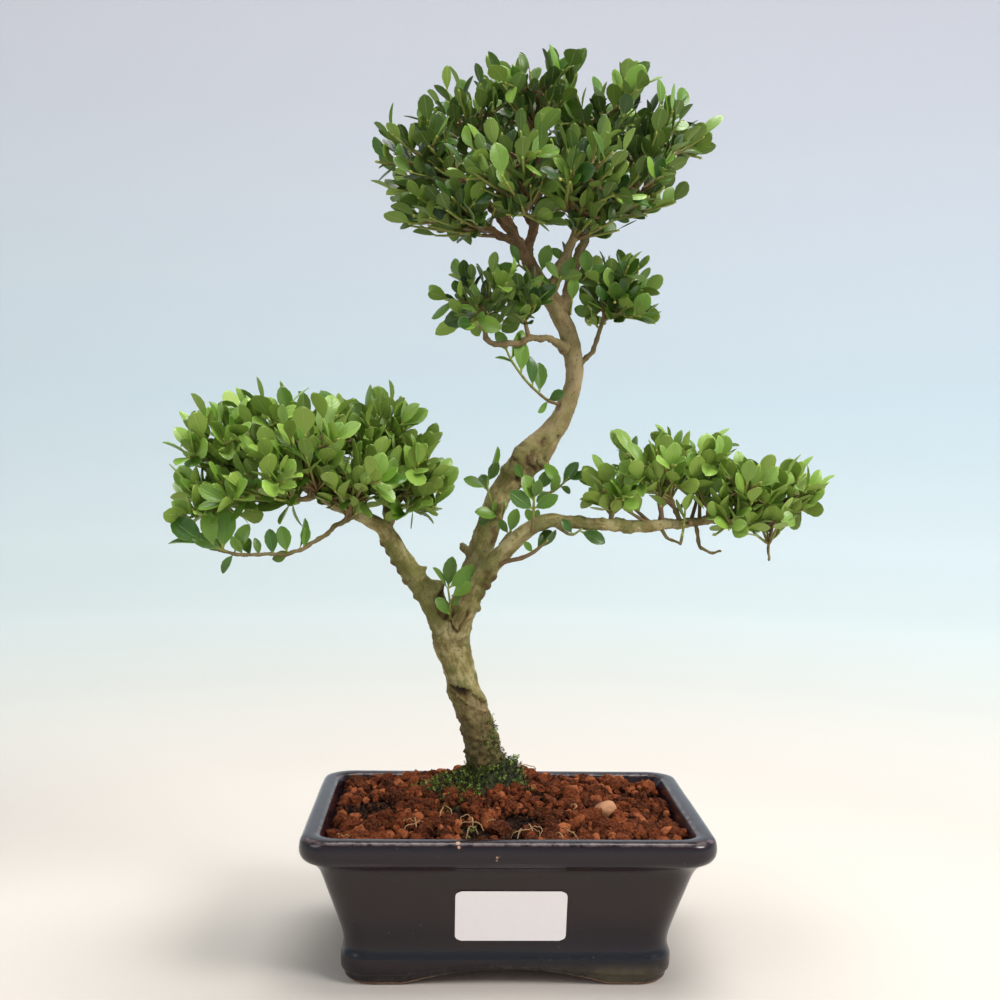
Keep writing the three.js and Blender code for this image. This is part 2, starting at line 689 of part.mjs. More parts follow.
function growHead(head, taken) {
  const draw = makeRandom(head.seed);
  const shoots = [];
  for (const clump of head.clumps) {
    const centre = vector(clump.at);
    const radii = vector(clump.radii);
    for (let i = 0; i < clump.shoots; i += 1) {
      const height = 1 - (2 * (i + 0.5)) / clump.shoots;
      const turn = i * GOLDEN_ANGLE + 0.8 * draw();
      const reach = 0.88 + 0.2 * draw();
      const ring = Math.sqrt(1 - height * height);
      const out = new THREE.Vector3(ring * Math.cos(turn), ring * Math.sin(turn), height).multiply(radii);
      const tip = centre.clone().addScaledVector(out, reach);
      const base = centre.clone().addScaledVector(out, CORE_PART / 3);
      const crowded = head.clumps.some((other) => {
        const from = tip.clone().sub(vector(other.at)).divide(vector(other.radii));
        return other !== clump && from.length() < 0.8;
      });
      if (height > -0.72 && !crowded) {
        shoots.push({ base, tip, leaves: placeLeaves(base, tip, LEAVES_ON_SHOOT, draw, taken) });
      }
    }
  }
  return shoots;
}

function growSprig(sprig, taken) {
  const draw = makeRandom(sprig.seed);
  return sprig.stems.map((stem) => {
    const base = vector(stem.slice(0, 3));
    const tip = vector(stem.slice(3, 6));
    return { base, tip, leaves: placeLeaves(base, tip, LEAVES_ON_SHOOT + 1, draw, taken) };
  });
}

// The small core of a clump, and the twigs that tie the clumps of a head together.
function makeCores(head) {
  const centre = vector(head.clumps[0].at);
  return head.clumps.flatMap((clump, i) => {
    const ball = new THREE.OctahedronGeometry(1, 0);
    ball.scale(...clump.radii.map((radius) => radius * CORE_PART));
    ball.translate(...clump.at);
    const nearest = head.clumps.slice(0, Math.max(i, 1)).reduce((best, other) => {
      const closer = vector(other.at).distanceTo(vector(clump.at)) < vector(best.at).distanceTo(vector(clump.at));
      return closer && other !== clump ? other : best;
    });
    const from = i === 0 ? centre : vector(nearest.at);
    return i === 0 ? [solidOf(ball)] : [solidOf(ball), makeShoot(vector(clump.at), from)];
  });
}

function makeFoliage(shoots, cores, grownWood) {
  const solids = [...cores];
  for (const shoot of shoots) {
    solids.push(makeShoot(shoot.base, shoot.tip));
    shoot.leaves.forEach((leaf) => solids.push(makeLeaf(leaf)));
  }
  return wasm.Manifold.union(solids).subtract(grownWood);
}

// Assembly

const LEAF_GREEN = 0x3c6b2a;
const grownWood = makeWood(GAP);
const wood = makeWood(0);
const pebble = makePebble(0);
const cavity = makeCavity();

function makeSoil() {
  let soil = makeBed(() => 0).intersect(cavity);
  soil = soil.subtract(grownWood).subtract(makePebble(GAP));
  soil = soil.subtract(screenSeat(-1, 2 * GAP)).subtract(screenSeat(1, 2 * GAP));
  return soil;
}

function makeMoss() {
  const overSoil = makeBed(() => GAP);
  return makeBed(mossHeight).intersect(cavity).subtract(overSoil).subtract(grownWood);
}

const bonsai = new THREE.Group();
bonsai.add(meshOf("pot", makePot(), 0x1b1d26, 0.25));
bonsai.add(meshOf("blank_label", makeLabel(), 0xf2f2f0, 0.6));
bonsai.add(meshOf("drain_screen_left", makeScreen(-1), 0x2b2b2b, 0.6));
bonsai.add(meshOf("drain_screen_right", makeScreen(1), 0x2b2b2b, 0.6));
bonsai.add(meshOf("soil", makeSoil(), 0x6b3a26, 0.95));
bonsai.add(meshOf("moss", makeMoss(), 0x2f4a1c, 0.95));
bonsai.add(meshOf("pebble", pebble, 0xb48a66, 0.8));
bonsai.add(meshOf("trunk_and_branches", wood, 0x6f6650, 0.85));

const taken = [];
for (const head of HEADS) {
  const shoots = growHead(head, taken);
  bonsai.add(meshOf(head.name, makeFoliage(shoots, makeCores(head), grownWood), LEAF_GREEN, 0.4));
}
for (const sprig of SPRIGS) {
  const shoots = growSprig(sprig, taken);
  bonsai.add(meshOf(sprig.name, makeFoliage(shoots, [], grownWood), LEAF_GREEN, 0.4));
}

const bounds = new THREE.Box3().setFromObject(bonsai);
const middle = bounds.getCenter(new THREE.Vector3());
const onTheGrid = (value) => Math.round(value / GRID) * GRID;
bonsai.position.set(-onTheGrid(middle.x), -onTheGrid(middle.y), -onTheGrid(bounds.min.z));
bonsai.updateMatrixWorld(true);

export default bonsai;
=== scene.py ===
import json
from math import atan2, ceil, cos, exp, floor, hypot, pi, sin, sqrt

import bmesh
import bpy
import numpy as np
from mathutils import Matrix, Quaternion, Vector, kdtree, noise

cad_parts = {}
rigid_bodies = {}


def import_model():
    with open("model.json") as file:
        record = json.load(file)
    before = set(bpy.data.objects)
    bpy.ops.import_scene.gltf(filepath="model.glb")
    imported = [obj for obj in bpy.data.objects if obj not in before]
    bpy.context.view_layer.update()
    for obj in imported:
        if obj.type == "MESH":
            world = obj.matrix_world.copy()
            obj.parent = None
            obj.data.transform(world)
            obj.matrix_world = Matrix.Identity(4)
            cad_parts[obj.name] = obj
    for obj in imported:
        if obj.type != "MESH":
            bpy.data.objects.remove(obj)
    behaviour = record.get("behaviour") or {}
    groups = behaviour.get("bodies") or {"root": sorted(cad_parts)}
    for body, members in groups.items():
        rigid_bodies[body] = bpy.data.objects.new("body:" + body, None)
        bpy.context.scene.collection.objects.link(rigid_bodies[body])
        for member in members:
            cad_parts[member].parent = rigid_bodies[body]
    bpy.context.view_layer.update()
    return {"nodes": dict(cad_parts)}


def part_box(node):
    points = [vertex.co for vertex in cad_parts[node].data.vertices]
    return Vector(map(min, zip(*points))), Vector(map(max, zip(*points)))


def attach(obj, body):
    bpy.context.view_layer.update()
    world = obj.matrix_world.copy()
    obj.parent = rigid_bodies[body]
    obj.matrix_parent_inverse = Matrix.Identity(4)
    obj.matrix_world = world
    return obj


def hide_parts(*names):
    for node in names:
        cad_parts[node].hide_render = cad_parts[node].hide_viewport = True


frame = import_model()

# Studio: the camera stands where the photograph was taken from. The pale floor curves up
# into a wall all round, and large soft lights hang above it, the strongest on the right.

scene = bpy.context.scene
scene.view_settings.view_transform = "Standard"

MM = 0.001
POT_LOW, POT_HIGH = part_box("pot")
POT_CENTRE = Vector(((POT_LOW.x + POT_HIGH.x) / 2, (POT_LOW.y + POT_HIGH.y) / 2, 0.0))

LENS = 45.88
CAMERA_PLACE = (-27.9, -663.3, 259.1)
CAMERA_YAW = -0.0350
CAMERA_PITCH = 0.0352
CAMERA_ROLL = 0.0140


def placed(point):
    """A point of the part's drawing, in millimetres from the pot's centre, in the frame."""
    return POT_CENTRE + Vector(point) * MM


def add_object(name, data):
    made = bpy.data.objects.new(name, data)
    scene.collection.objects.link(made)
    return made


def set_camera():
    ahead = Vector((-sin(CAMERA_YAW) * cos(CAMERA_PITCH), cos(CAMERA_YAW) * cos(CAMERA_PITCH),
                    -sin(CAMERA_PITCH)))
    level = Vector((cos(CAMERA_YAW), sin(CAMERA_YAW), 0.0))
    upright = level.cross(ahead)
    right = level * cos(CAMERA_ROLL) + upright * sin(CAMERA_ROLL)
    up = upright * cos(CAMERA_ROLL) - level * sin(CAMERA_ROLL)
    camera = add_object("camera", bpy.data.cameras.new("camera"))
    camera.data.lens = LENS
    camera.data.clip_start = 0.01
    turn = Matrix((right, up, -ahead)).transposed().to_4x4()
    camera.matrix_world = Matrix.Translation(placed(CAMERA_PLACE)) @ turn
    scene.camera = camera


def hang_light(name, place, aim, size, power, colour):
    light = bpy.data.lights.new(name, "AREA")
    light.shape = "DISK"
    light.size = size
    light.energy = power
    light.color = colour
    lamp = add_object(name, light)
    lamp.location = place
    lamp.rotation_euler = (Vector(aim) - Vector(place)).to_track_quat("-Z", "Y").to_euler()


def linear(red, green, blue):
    """A colour given in 0 to 255 screen values, as the shaders want it."""
    parts = [value / 255 for value in (red, green, blue)]
    lit = [part / 12.92 if part < 0.04045 else ((part + 0.055) / 1.055) ** 2.4 for part in parts]
    return (*lit, 1.0)


class Value:
    """One output of a shader node. Arithmetic on it adds Math nodes to its material."""

    def __init__(self, finish, socket):
        self.finish = finish
        self.socket = socket

    def __add__(self, other):
        return self.finish.maths("ADD", self, other)

    __radd__ = __add__

    def __sub__(self, other):
        return self.finish.maths("SUBTRACT", self, other)

    def __rsub__(self, other):
        return self.finish.maths("SUBTRACT", other, self)

    def __mul__(self, other):
        return self.finish.maths("MULTIPLY", self, other)

    __rmul__ = __mul__

    def __pow__(self, other):
        return self.finish.maths("POWER", self, other)


class Finish:
    """A material in the making. node() adds any shader node, the rest name the common ones."""

    def __init__(self, name):
        self.material = bpy.data.materials.new(name)
        self.material.use_nodes = True
        self.tree = self.material.node_tree
        self.shader = self.tree.nodes["Principled BSDF"]

    def feed(self, target, sockets):
        for key, value in sockets.items():
            if isinstance(value, Value):
                self.tree.links.new(value.socket, target.inputs[key])
            else:
                target.inputs[key].default_value = value

    def node(self, kind, settings=None, sockets=None, output=0):
        made = self.tree.nodes.new("ShaderNode" + kind)
        for key, value in (settings or {}).items():
            if key == "stops":
                ramp = made.color_ramp.elements
                while len(ramp) < len(value):
                    ramp.new(1.0)
                for stop, (place, *colour) in zip(ramp, value):
                    stop.position = place
                    stop.color = linear(*colour)
            else:
                setattr(made, key, value)
        self.feed(made, sockets or {})
        return Value(self, made.outputs[output])

    def maths(self, operation, *values):
        return self.node("Math", {"operation": operation}, dict(enumerate(values)))

    def mix(self, factor, first, second):
        """A blend of two colours, each another node's or a row of screen values."""
        first, second = (linear(*c) if isinstance(c, tuple) else c for c in (first, second))
        return self.node("Mix", {"data_type": "RGBA"}, {0: factor, 6: first, 7: second}, output=2)

    def ramp(self, value, stops):
        return self.node("ValToRGB", {"stops": stops}, {0: value})

    def step(self, value, low, high):
        """0 below low, 1 above high and a soft rise between them."""
        settings = {"interpolation_type": "SMOOTHSTEP"}
        return self.node("MapRange", settings, {"Value": value, "From Min": low, "From Max": high})

    def place(self):
        return self.node("TexCoord", output="Object")

    def stretched(self, place, scale):
        return self.node("Mapping", sockets={"Vector": place, "Scale": scale})

    def cloud(self, place, scale, detail=3.0, roughness=0.55):
        sockets = {"Vector": place, "Scale": scale, "Detail": detail, "Roughness": roughness}
        return self.node("TexNoise", sockets=sockets)

    def cells(self, place, scale, feature="F1"):
        return self.node("TexVoronoi", {"feature": feature}, {"Vector": place, "Scale": scale})

    def part(self, place, axis):
        return self.node("SeparateXYZ", sockets={0: place}, output=axis)

    def mark(self, name, output="Fac"):
        return self.node("Attribute", {"attribute_name": name}, output=output)

    def relief(self, height, distance, strength=1.0):
        sockets = {"Height": height, "Distance": distance, "Strength": strength}
        return self.node("Bump", sockets=sockets)

    def done(self, **sockets):
        named = {key.replace("_", " "): value for key, value in sockets.items()}
        self.feed(self.shader, named)
        return self.material


def shade(mesh, smooth=True):
    mesh.polygons.foreach_set("use_smooth", [smooth] * len(mesh.polygons))


def store(mesh, name, values, kind="FLOAT", domain="POINT"):
    """Keep a value for each point, edge or face, for a material or a recipe to read."""
    field = "vector" if kind == "FLOAT_VECTOR" else "value"
    mesh.attributes.new(name, kind, domain).data.foreach_set(field, values)


def new_mesh(name, points, faces, smooth=True):
    """An object from points in metres and faces, shaded smooth unless told otherwise."""
    mesh = bpy.data.meshes.new(name)
    mesh.from_pydata([tuple(point) for point in points], [], faces)
    shade(mesh, smooth)
    mesh.update()
    return add_object(name, mesh)


# Radius and height of the paper, in metres from the pot's middle.
BACKDROP_PROFILE = [(0.05, 0), (0.6, 0), (1.2, 0), (1.5, 0.01), (1.75, 0.05), (1.95, 0.13),
                    (2.12, 0.26), (2.25, 0.45), (2.32, 0.7), (2.36, 1.1), (2.38, 1.7), (2.4, 2.5)]
BACKDROP_SIDES = 96
# Way out along the paper, as a part of the whole, and the paper's colour there.
BACKDROP_TONES = [(0.0, 194, 187, 179), (0.1, 187, 181, 175), (0.2, 190, 193, 189),
                  (0.32, 206, 216, 216), (0.45, 209, 222, 225), (0.6, 198, 213, 221),
                  (0.8, 208, 209, 219), (1.0, 227, 223, 230)]
BACKDROP_WAY = 4.3
# Painted shade: the paper is darkened towards this colour, most on the left, away from the
# right-hand light: how much at the middle, and how much less for each metre to the right.
BACKDROP_SHADE = (150, 150, 144)
SHADE_AMOUNT = 0.13
SHADE_SLOPE = 0.1


def make_backdrop():
    points = [(0, 0, 0)]
    for radius, height in BACKDROP_PROFILE:
        for side in range(BACKDROP_SIDES):
            angle = side / BACKDROP_SIDES * 2 * pi
            points.append((radius * cos(angle), radius * sin(angle), height))
    faces = []
    for side in range(BACKDROP_SIDES):
        after = (side + 1) % BACKDROP_SIDES
        faces.append((0, 1 + side, 1 + after))
        for row in range(len(BACKDROP_PROFILE) - 1):
            low = 1 + row * BACKDROP_SIDES
            high = low + BACKDROP_SIDES
            faces.append((low + side, high + side, high + after, low + after))
    backdrop = new_mesh("backdrop", points, faces)
    paper = Finish("backdrop_paper")
    place = paper.place()
    flat = paper.stretched(place, (1, 1, 0))
    out = paper.node("VectorMath", {"operation": "LENGTH"}, {0: flat}, "Value")
    colour = paper.ramp((out + paper.part(place, "Z")) * (1 / BACKDROP_WAY), BACKDROP_TONES)
    shade_part = SHADE_AMOUNT - paper.part(place, "X") * SHADE_SLOPE
    colour = paper.mix(shade_part, colour, BACKDROP_SHADE)
    backdrop.data.materials.append(paper.done(Base_Color=colour, Roughness=0.95, Specular_IOR_Level=0.1))


def light_studio():
    sky = bpy.data.worlds.new("soft_room")
    sky.use_nodes = True
    sky.node_tree.nodes["Background"].inputs["Color"].default_value = linear(236, 234, 228)
    sky.node_tree.nodes["Background"].inputs["Strength"].default_value = 0.3
    scene.world = sky
    hang_light("overhead_light", (0.1, 0.1, 1.9), (0, 0, 0.2), 1.3, 46, (1.0, 0.99, 0.97))
    hang_light("right_light", (1.15, -0.75, 1.25), (0, 0, 0.25), 0.7, 26, (1.0, 0.98, 0.95))
    hang_light("back_light", (0.0, 0.9, 1.9), (0, 2.1, 0.2), 1.6, 7, (0.95, 0.99, 1.0))
    hang_light("left_light", (-1.2, -0.7, 1.1), (0, 0, 0.25), 1.0, 8, (0.95, 0.98, 1.0))


set_camera()
make_backdrop()
light_studio()

# Pot: one slip-cast stoneware piece under a blue-black gloss glaze. The glaze stops short
# of the ground, so the foot's edge and the arches show bare red clay.

HALF_X_OVER_Y = 30
OUTER_CORNER = 14
INNER_CORNER = 10
POT_FLOOR = 14
RECESS_HEIGHT = 8
RECESS_HALF_X = 69.3
DRAIN_X = 40
DRAIN_RADIUS = 6
FRONT_ARCH_HALF = 50
SIDE_ARCH_HALF = 26
ARCH_HEIGHT = 7.5
ARCH_FADE = 13

# Height and half width of the wall. A low band stands out a little above the foot.
OUTSIDE = [(0.5, 78.3), (1.8, 79.8), (5, 80.5), (6.5, 81.6), (12.5, 81.9), (14, 81.7), (16.5, 80.9),
           (19, 80.6), (24, 81.2), (34, 84), (46, 87.8), (57, 91.4), (62, 94.8), (65, 98.8),
           (69, 100.6), (74, 100.3), (76, 98.9)]
RIM_AND_INSIDE = [(76.5, 97.2), (76.5, 94.2), (75.9, 92.2), (74.2, 90.8), (60, 84.8), (38, 78),
                  (18, 74), (14.6, 71)]
LIP_HALF_X = 97.2
LIP_WIDTH = 5
# The walls wave slightly, as slip-cast ones do: how far, and how closely.
WALL_WAVE = 0.25
WAVE_SCALE = 0.035

CORNER_SEGMENTS = 8
LONG_SEGMENTS = 46
SHORT_SEGMENTS = 28


def ring_plan():
    """The points round a rectangle with round corners, each between two corner angles."""
    plan = []
    for quarter in range(4):
        for step in range(CORNER_SEGMENTS + 1):
            angle = (quarter + step / CORNER_SEGMENTS) * pi / 2
            plan.append((quarter, angle, quarter, angle, 0.0, "corner"))
        after = (quarter + 1) % 4
        angle = (quarter + 1) * pi / 2
        segments = LONG_SEGMENTS if quarter % 2 == 0 else SHORT_SEGMENTS
        wall = "long" if quarter % 2 == 0 else "short"
        for step in range(1, segments):
            plan.append((quarter, angle, after, angle, step / segments, wall))
    return plan


RING_PLAN = ring_plan()
CORNER_SIGNS = [(1, 1), (-1, 1), (-1, -1), (1, -1)]


def rectangle_ring(half_x, half_y, corner):
    points = []
    for first, angle_a, second, angle_b, part, _ in RING_PLAN:
        ends = []
        for quarter, angle in ((first, angle_a), (second, angle_b)):
            sign_x, sign_y = CORNER_SIGNS[quarter]
            ends.append((sign_x * (half_x - corner) + corner * cos(angle),
                         sign_y * (half_y - corner) + corner * sin(angle)))
        (ax, ay), (bx, by) = ends
        points.append((ax + (bx - ax) * part, ay + (by - ay) * part))
    return points


def arch_at(x, y, wall):
    """How high the arch under a wall rises at a point round the foot."""
    if wall == "long":
        part = x / FRONT_ARCH_HALF
    elif wall == "short":
        part = y / SIDE_ARCH_HALF
    else:
        return 0.0
    return ARCH_HEIGHT * max(0.0, 1 - part * part)


def held(value):
    """The value, held between 0 and 1."""
    return min(1.0, max(0.0, value))


def smooth_path(rows, steps):
    """A curve through the rows, with the same number of steps between each two."""
    rows = [np.array(row, float) for row in rows]
    path = []
    for i in range(len(rows) - 1):
        before = rows[max(i - 1, 0)]
        a, b = rows[i], rows[i + 1]
        after = rows[min(i + 2, len(rows) - 1)]
        for step in range(steps):
            t = step / steps
            path.append(0.5 * (2 * a + (b - before) * t + (2 * before - 5 * a + 4 * b - after) * t * t
                               + (3 * a - before - 3 * b + after) * t ** 3))
    path.append(rows[-1])
    return path


def skin(rings, low_middle, high_middle):
    """Faces over rings of equal length, closed by a point at each end."""
    count = len(rings[0])
    points = [p for ring in rings for p in ring]
    low, high = len(points), len(points) + 1
    points += [low_middle, high_middle]
    faces = []
    for i in range(count):
        after = (i + 1) % count
        faces.append((low, after, i))
        for row in range(len(rings) - 1):
            base = row * count
            faces.append((base + i, base + after, base + count + after, base + count + i))
        top = (len(rings) - 1) * count
        faces.append((top + i, top + after, high))
    return points, faces


OUTSIDE_PATH = smooth_path(OUTSIDE, 5)
INSIDE_PATH = smooth_path([OUTSIDE[-1]] + RIM_AND_INSIDE, 4)[1:]


def pot_rings():
    """Half width, corner, height, bare clay and how far the arch lifts the level."""
    rows = [(half_x, INNER_CORNER, RECESS_HEIGHT, 1, 0) for half_x in (60, RECESS_HALF_X - 0.6)]
    for height in (7.7, 4.5, 1.2, 0.4):
        rows.append((RECESS_HALF_X, INNER_CORNER, height, 1, 1 - height / RECESS_HEIGHT))
    for half_x in (RECESS_HALF_X + 0.5, 72, 75, 77.6):
        rows.append((half_x, OUTER_CORNER - 3, 0, 1, 1))
    for height, half_x in OUTSIDE_PATH:
        bare = 1 - held((height - 0.8) / 1.2)
        rows.append((half_x, OUTER_CORNER, height, bare, max(0, 1 - height / ARCH_FADE)))
    for height, half_x in INSIDE_PATH:
        inward = held((LIP_HALF_X - half_x) / LIP_WIDTH)
        corner = OUTER_CORNER - (OUTER_CORNER - INNER_CORNER) * inward
        rows.append((half_x, corner, height, 0, 0))
    rows.append((69, INNER_CORNER, POT_FLOOR, 0, 0))
    return rows


def make_pot():
    rings, bare = [], []
    for half_x, corner, height, clay, lift in pot_rings():
        flat = rectangle_ring(half_x, half_x - HALF_X_OVER_Y, corner)
        ring = []
        for (x, y), (*_, wall) in zip(flat, RING_PLAN):
            z = height + lift * arch_at(x, y, wall)
            wave = WALL_WAVE * noise.noise(Vector((x, y, z)) * WAVE_SCALE) * min(1, z / 20)
            ring.append(placed((x * (1 + wave / 90), y * (1 + wave / 60), z)))
            bare.append(clay)
        rings.append(ring)
    bare += [1, 0]
    points, faces = skin(rings, placed((0, 0, RECESS_HEIGHT)), placed((0, 0, POT_FLOOR)))
    pot = new_mesh("glazed_pot", points, faces)
    store(pot.data, "bare_clay", bare)
    for side in (-1, 1):
        bpy.ops.mesh.primitive_cylinder_add(vertices=32, radius=DRAIN_RADIUS * MM, depth=0.02,
                                            location=placed((side * DRAIN_X, 0, POT_FLOOR - 3)))
        drill = bpy.context.object
        cut = pot.modifiers.new("drain", "BOOLEAN")
        cut.operation = "DIFFERENCE"
        cut.object = drill
        bpy.context.view_layer.objects.active = pot
        bpy.ops.object.modifier_apply(modifier=cut.name)
        bpy.data.objects.remove(drill)
    pot.data.materials.clear()
    pot.data.materials.append(pot_glaze())
    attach(pot, "root")
    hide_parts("pot")


# Where the glaze is nicked down to the clay: place and radius of each nick.
NICKS = [((-24.6, -68.4, 75.9), 1.2), ((-24.2, -69.6, 74.4), 0.8), ((-6.2, -70.4, 69.9), 0.7),
         ((-6.5, -70.0, 68.6), 0.7), ((88, -66, 75), 0.5), ((69, -61, 28), 0.5)]


def pot_glaze():
    glaze = Finish("pot_glaze")
    place = glaze.place()
    height = glaze.part(place, "Z") * 1000
    drift = glaze.cloud(place, 22, 3)
    fine = glaze.cloud(place, 260, 2)
    navy = glaze.mix(glaze.step(drift, 0.35, 0.7), (26, 13, 18), (18, 10, 24))
    # Above the foot the wall is warmed towards brown: a painted reflection of the warm floor.
    body = glaze.mix(glaze.step(height, 20, 40), navy, (32, 19, 19))
    body = glaze.mix(glaze.step(height, 61, 66), body, (22, 9, 18))
    # A dark navy band above the foot: partly the glaze's own colour and partly a painted dark reflection.
    wave = height + (drift - 0.5) * 9
    band = glaze.step(wave, 11.5, 13) * (1 - glaze.step(wave, 16.5, 19))
    body = glaze.mix(band * 0.85, body, (6, 6, 18))
    olive = glaze.step(drift + fine * 0.3, 0.55, 0.85) * (1 - glaze.step(height, 6, 13))
    body = glaze.mix(olive, body, (74, 66, 48))
    lip = glaze.step(height, 74.6, 75.6) * (1 - glaze.step(height, 76.1, 76.45))
    body = glaze.mix(lip * glaze.step(fine, 0.35, 0.65) * 0.75, body, (96, 84, 84))
    ledge = glaze.step(height, 63.6, 65.2) * (1 - glaze.step(height, 65.6, 67.2))
    body = glaze.mix(ledge * glaze.step(drift, 0.4, 0.7) * 0.35, body, (70, 62, 66))
    specks = 1 - glaze.step(glaze.cells(place, 210), 0.02, 0.06)
    body = glaze.mix(specks * glaze.step(drift, 0.5, 0.56) * 0.7, body, (150, 140, 130))
    clay = glaze.mix(fine, (138, 92, 70), (186, 150, 126))
    bare = glaze.step(glaze.mark("bare_clay") + (fine - 0.5) * 0.9, 0.45, 0.6)
    for centre, radius in NICKS:
        reach = glaze.node("VectorMath", {"operation": "DISTANCE"},
                           {0: place, 1: placed(centre)}, output="Value")
        nick = 1 - glaze.step(reach * 1000 + (fine - 0.5) * 2.0, radius * 0.8, radius * 1.1)
        bare = glaze.maths("MAXIMUM", bare, nick)
    colour = glaze.mix(bare, body, clay)
    dull = glaze.step(drift + fine * 0.25, 0.5, 0.9) * (1 - glaze.step(height, 8, 20)) * 0.25
    roughness = 0.16 + drift * 0.1 + dull + bare * 0.5
    ripple = glaze.cloud(place, 60, 2)
    pits = glaze.step(glaze.cells(place, 420), 0.05, 0.2)
    normal = glaze.relief(ripple * 0.6 + fine * 0.08 + pits * 0.05, 0.0009, 0.35)
    return glaze.done(Base_Color=colour, Roughness=roughness, Normal=normal, IOR=1.52,
                      Specular_IOR_Level=0.42)


make_pot()

# Sticker: a blank white paper label on the front wall. It is a thin sheet with round
# corners, and its glued face follows the glaze.

LABEL_X = 1.5
LABEL_HALF = 27
LABEL_BOTTOM = 23
LABEL_TOP = 50
LABEL_CORNER = 3
LABEL_GLUE = 0.25
LABEL_THICKNESS = 0.35
LABEL_ROWS = 28
LABEL_COLUMNS = 30


def wall_y(z):
    """Where the front wall stands at a height."""
    heights = [row[0] for row in OUTSIDE_PATH]
    return -(float(np.interp(z, heights, [row[1] for row in OUTSIDE_PATH])) - HALF_X_OVER_Y)


def make_label():
    layers = []
    for off in (LABEL_GLUE, LABEL_GLUE + LABEL_THICKNESS):
        layer = []
        for row in range(LABEL_ROWS + 1):
            z = LABEL_BOTTOM + (LABEL_TOP - LABEL_BOTTOM) * row / LABEL_ROWS
            edge = min(z - LABEL_BOTTOM, LABEL_TOP - z)
            inset = 0.0
            if edge < LABEL_CORNER:
                inset = LABEL_CORNER - sqrt(LABEL_CORNER ** 2 - (LABEL_CORNER - edge) ** 2)
            for column in range(LABEL_COLUMNS + 1):
                across = 2 * column / LABEL_COLUMNS - 1
                x = LABEL_X + across * (LABEL_HALF - inset)
                layer.append(placed((x, wall_y(z) - off, z)))
        layers.append(layer)
    points = layers[0] + layers[1]
    wide = LABEL_COLUMNS + 1
    front = len(layers[0])
    faces = []
    for row in range(LABEL_ROWS):
        for column in range(LABEL_COLUMNS):
            a = row * wide + column
            faces.append((a + wide, a + wide + 1, a + 1, a))
            faces.append((front + a, front + a + 1, front + a + wide + 1, front + a + wide))
    border = list(range(wide))
    border += [row * wide + wide - 1 for row in range(1, LABEL_ROWS + 1)]
    border += [LABEL_ROWS * wide + column for column in range(wide - 2, -1, -1)]
    border += [row * wide for row in range(LABEL_ROWS - 1, 0, -1)]
    for i, a in enumerate(border):
        b = border[(i + 1) % len(border)]
        faces.append((a, b, front + b, front + a))
    label = new_mesh("paper_label", points, faces, smooth=False)
    paper = Finish("label_paper")
    place = paper.place()
    fibre = paper.cloud(paper.stretched(place, (900, 900, 1400)), 1.0, 3)
    colour = paper.mix(fibre * 0.5, (246, 240, 240), (226, 218, 220))
    label.data.materials.append(paper.done(Base_Color=colour, Roughness=0.55 + fibre * 0.1,
                                           Normal=paper.relief(fibre, 0.00005, 0.4)))
    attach(label, "root")
    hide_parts("blank_label")


make_label()

# Drain screens: two squares of black plastic net, laid over the holes before the soil went
# in. The CAD's own solids stay, with a dusty plastic on them.


def screen_plastic():
    plastic = Finish("screen_plastic")
    place = plastic.place()
    grain = plastic.cloud(place, 900, 2)
    dust = plastic.step(plastic.cloud(place, 150, 3), 0.5, 0.7)
    colour = plastic.mix(dust * 0.6, (30, 30, 32), (92, 66, 50))
    return plastic.done(Base_Color=colour, Roughness=0.45 + grain * 0.2 + dust * 0.2,
                        Normal=plastic.relief(grain, 0.0001, 0.4))


SCREEN_PLASTIC = screen_plastic()
for screen_name in ("drain_screen_left", "drain_screen_right"):
    screen_slots = frame["nodes"][screen_name].material_slots
    screen_slots[0].material = SCREEN_PLASTIC

# Soil: a bed of near-black peat that fills the pot, covered in crumbly lumps of baked
# red-brown clay from 2 to 10 mm, which lie loose on it and are heaped up to the trunk.

SOIL_GAP = 0.4
SOIL_EDGE = 69
SOIL_SINK = 2.6
SOIL_LEVELS = (14.7, 17, 24, 34, 44, 54, 60, 64, 66.5)
SOIL_SHOULDER = 67.5
SOIL_RINGS = 44
SOIL_SWELL = 0.9
BED_ROUGHNESS = 1.3
BED_GRAIN = 0.14
# The soil is mounded up to the trunk: how high, where its top is, and how far the mound reaches.
MOUND_RISE = 11
MOUND_X = -8
MOUND_Y = 24
MOUND_REACH_X = 58
MOUND_REACH_Y = 40


def mound_height(x, y):
    rise = exp(-(((x - MOUND_X) / MOUND_REACH_X) ** 2) - (((y - MOUND_Y) / MOUND_REACH_Y) ** 2))
    return SOIL_EDGE + MOUND_RISE * rise + SOIL_SWELL * sin(0.07 * x + 0.4) * cos(0.09 * y)


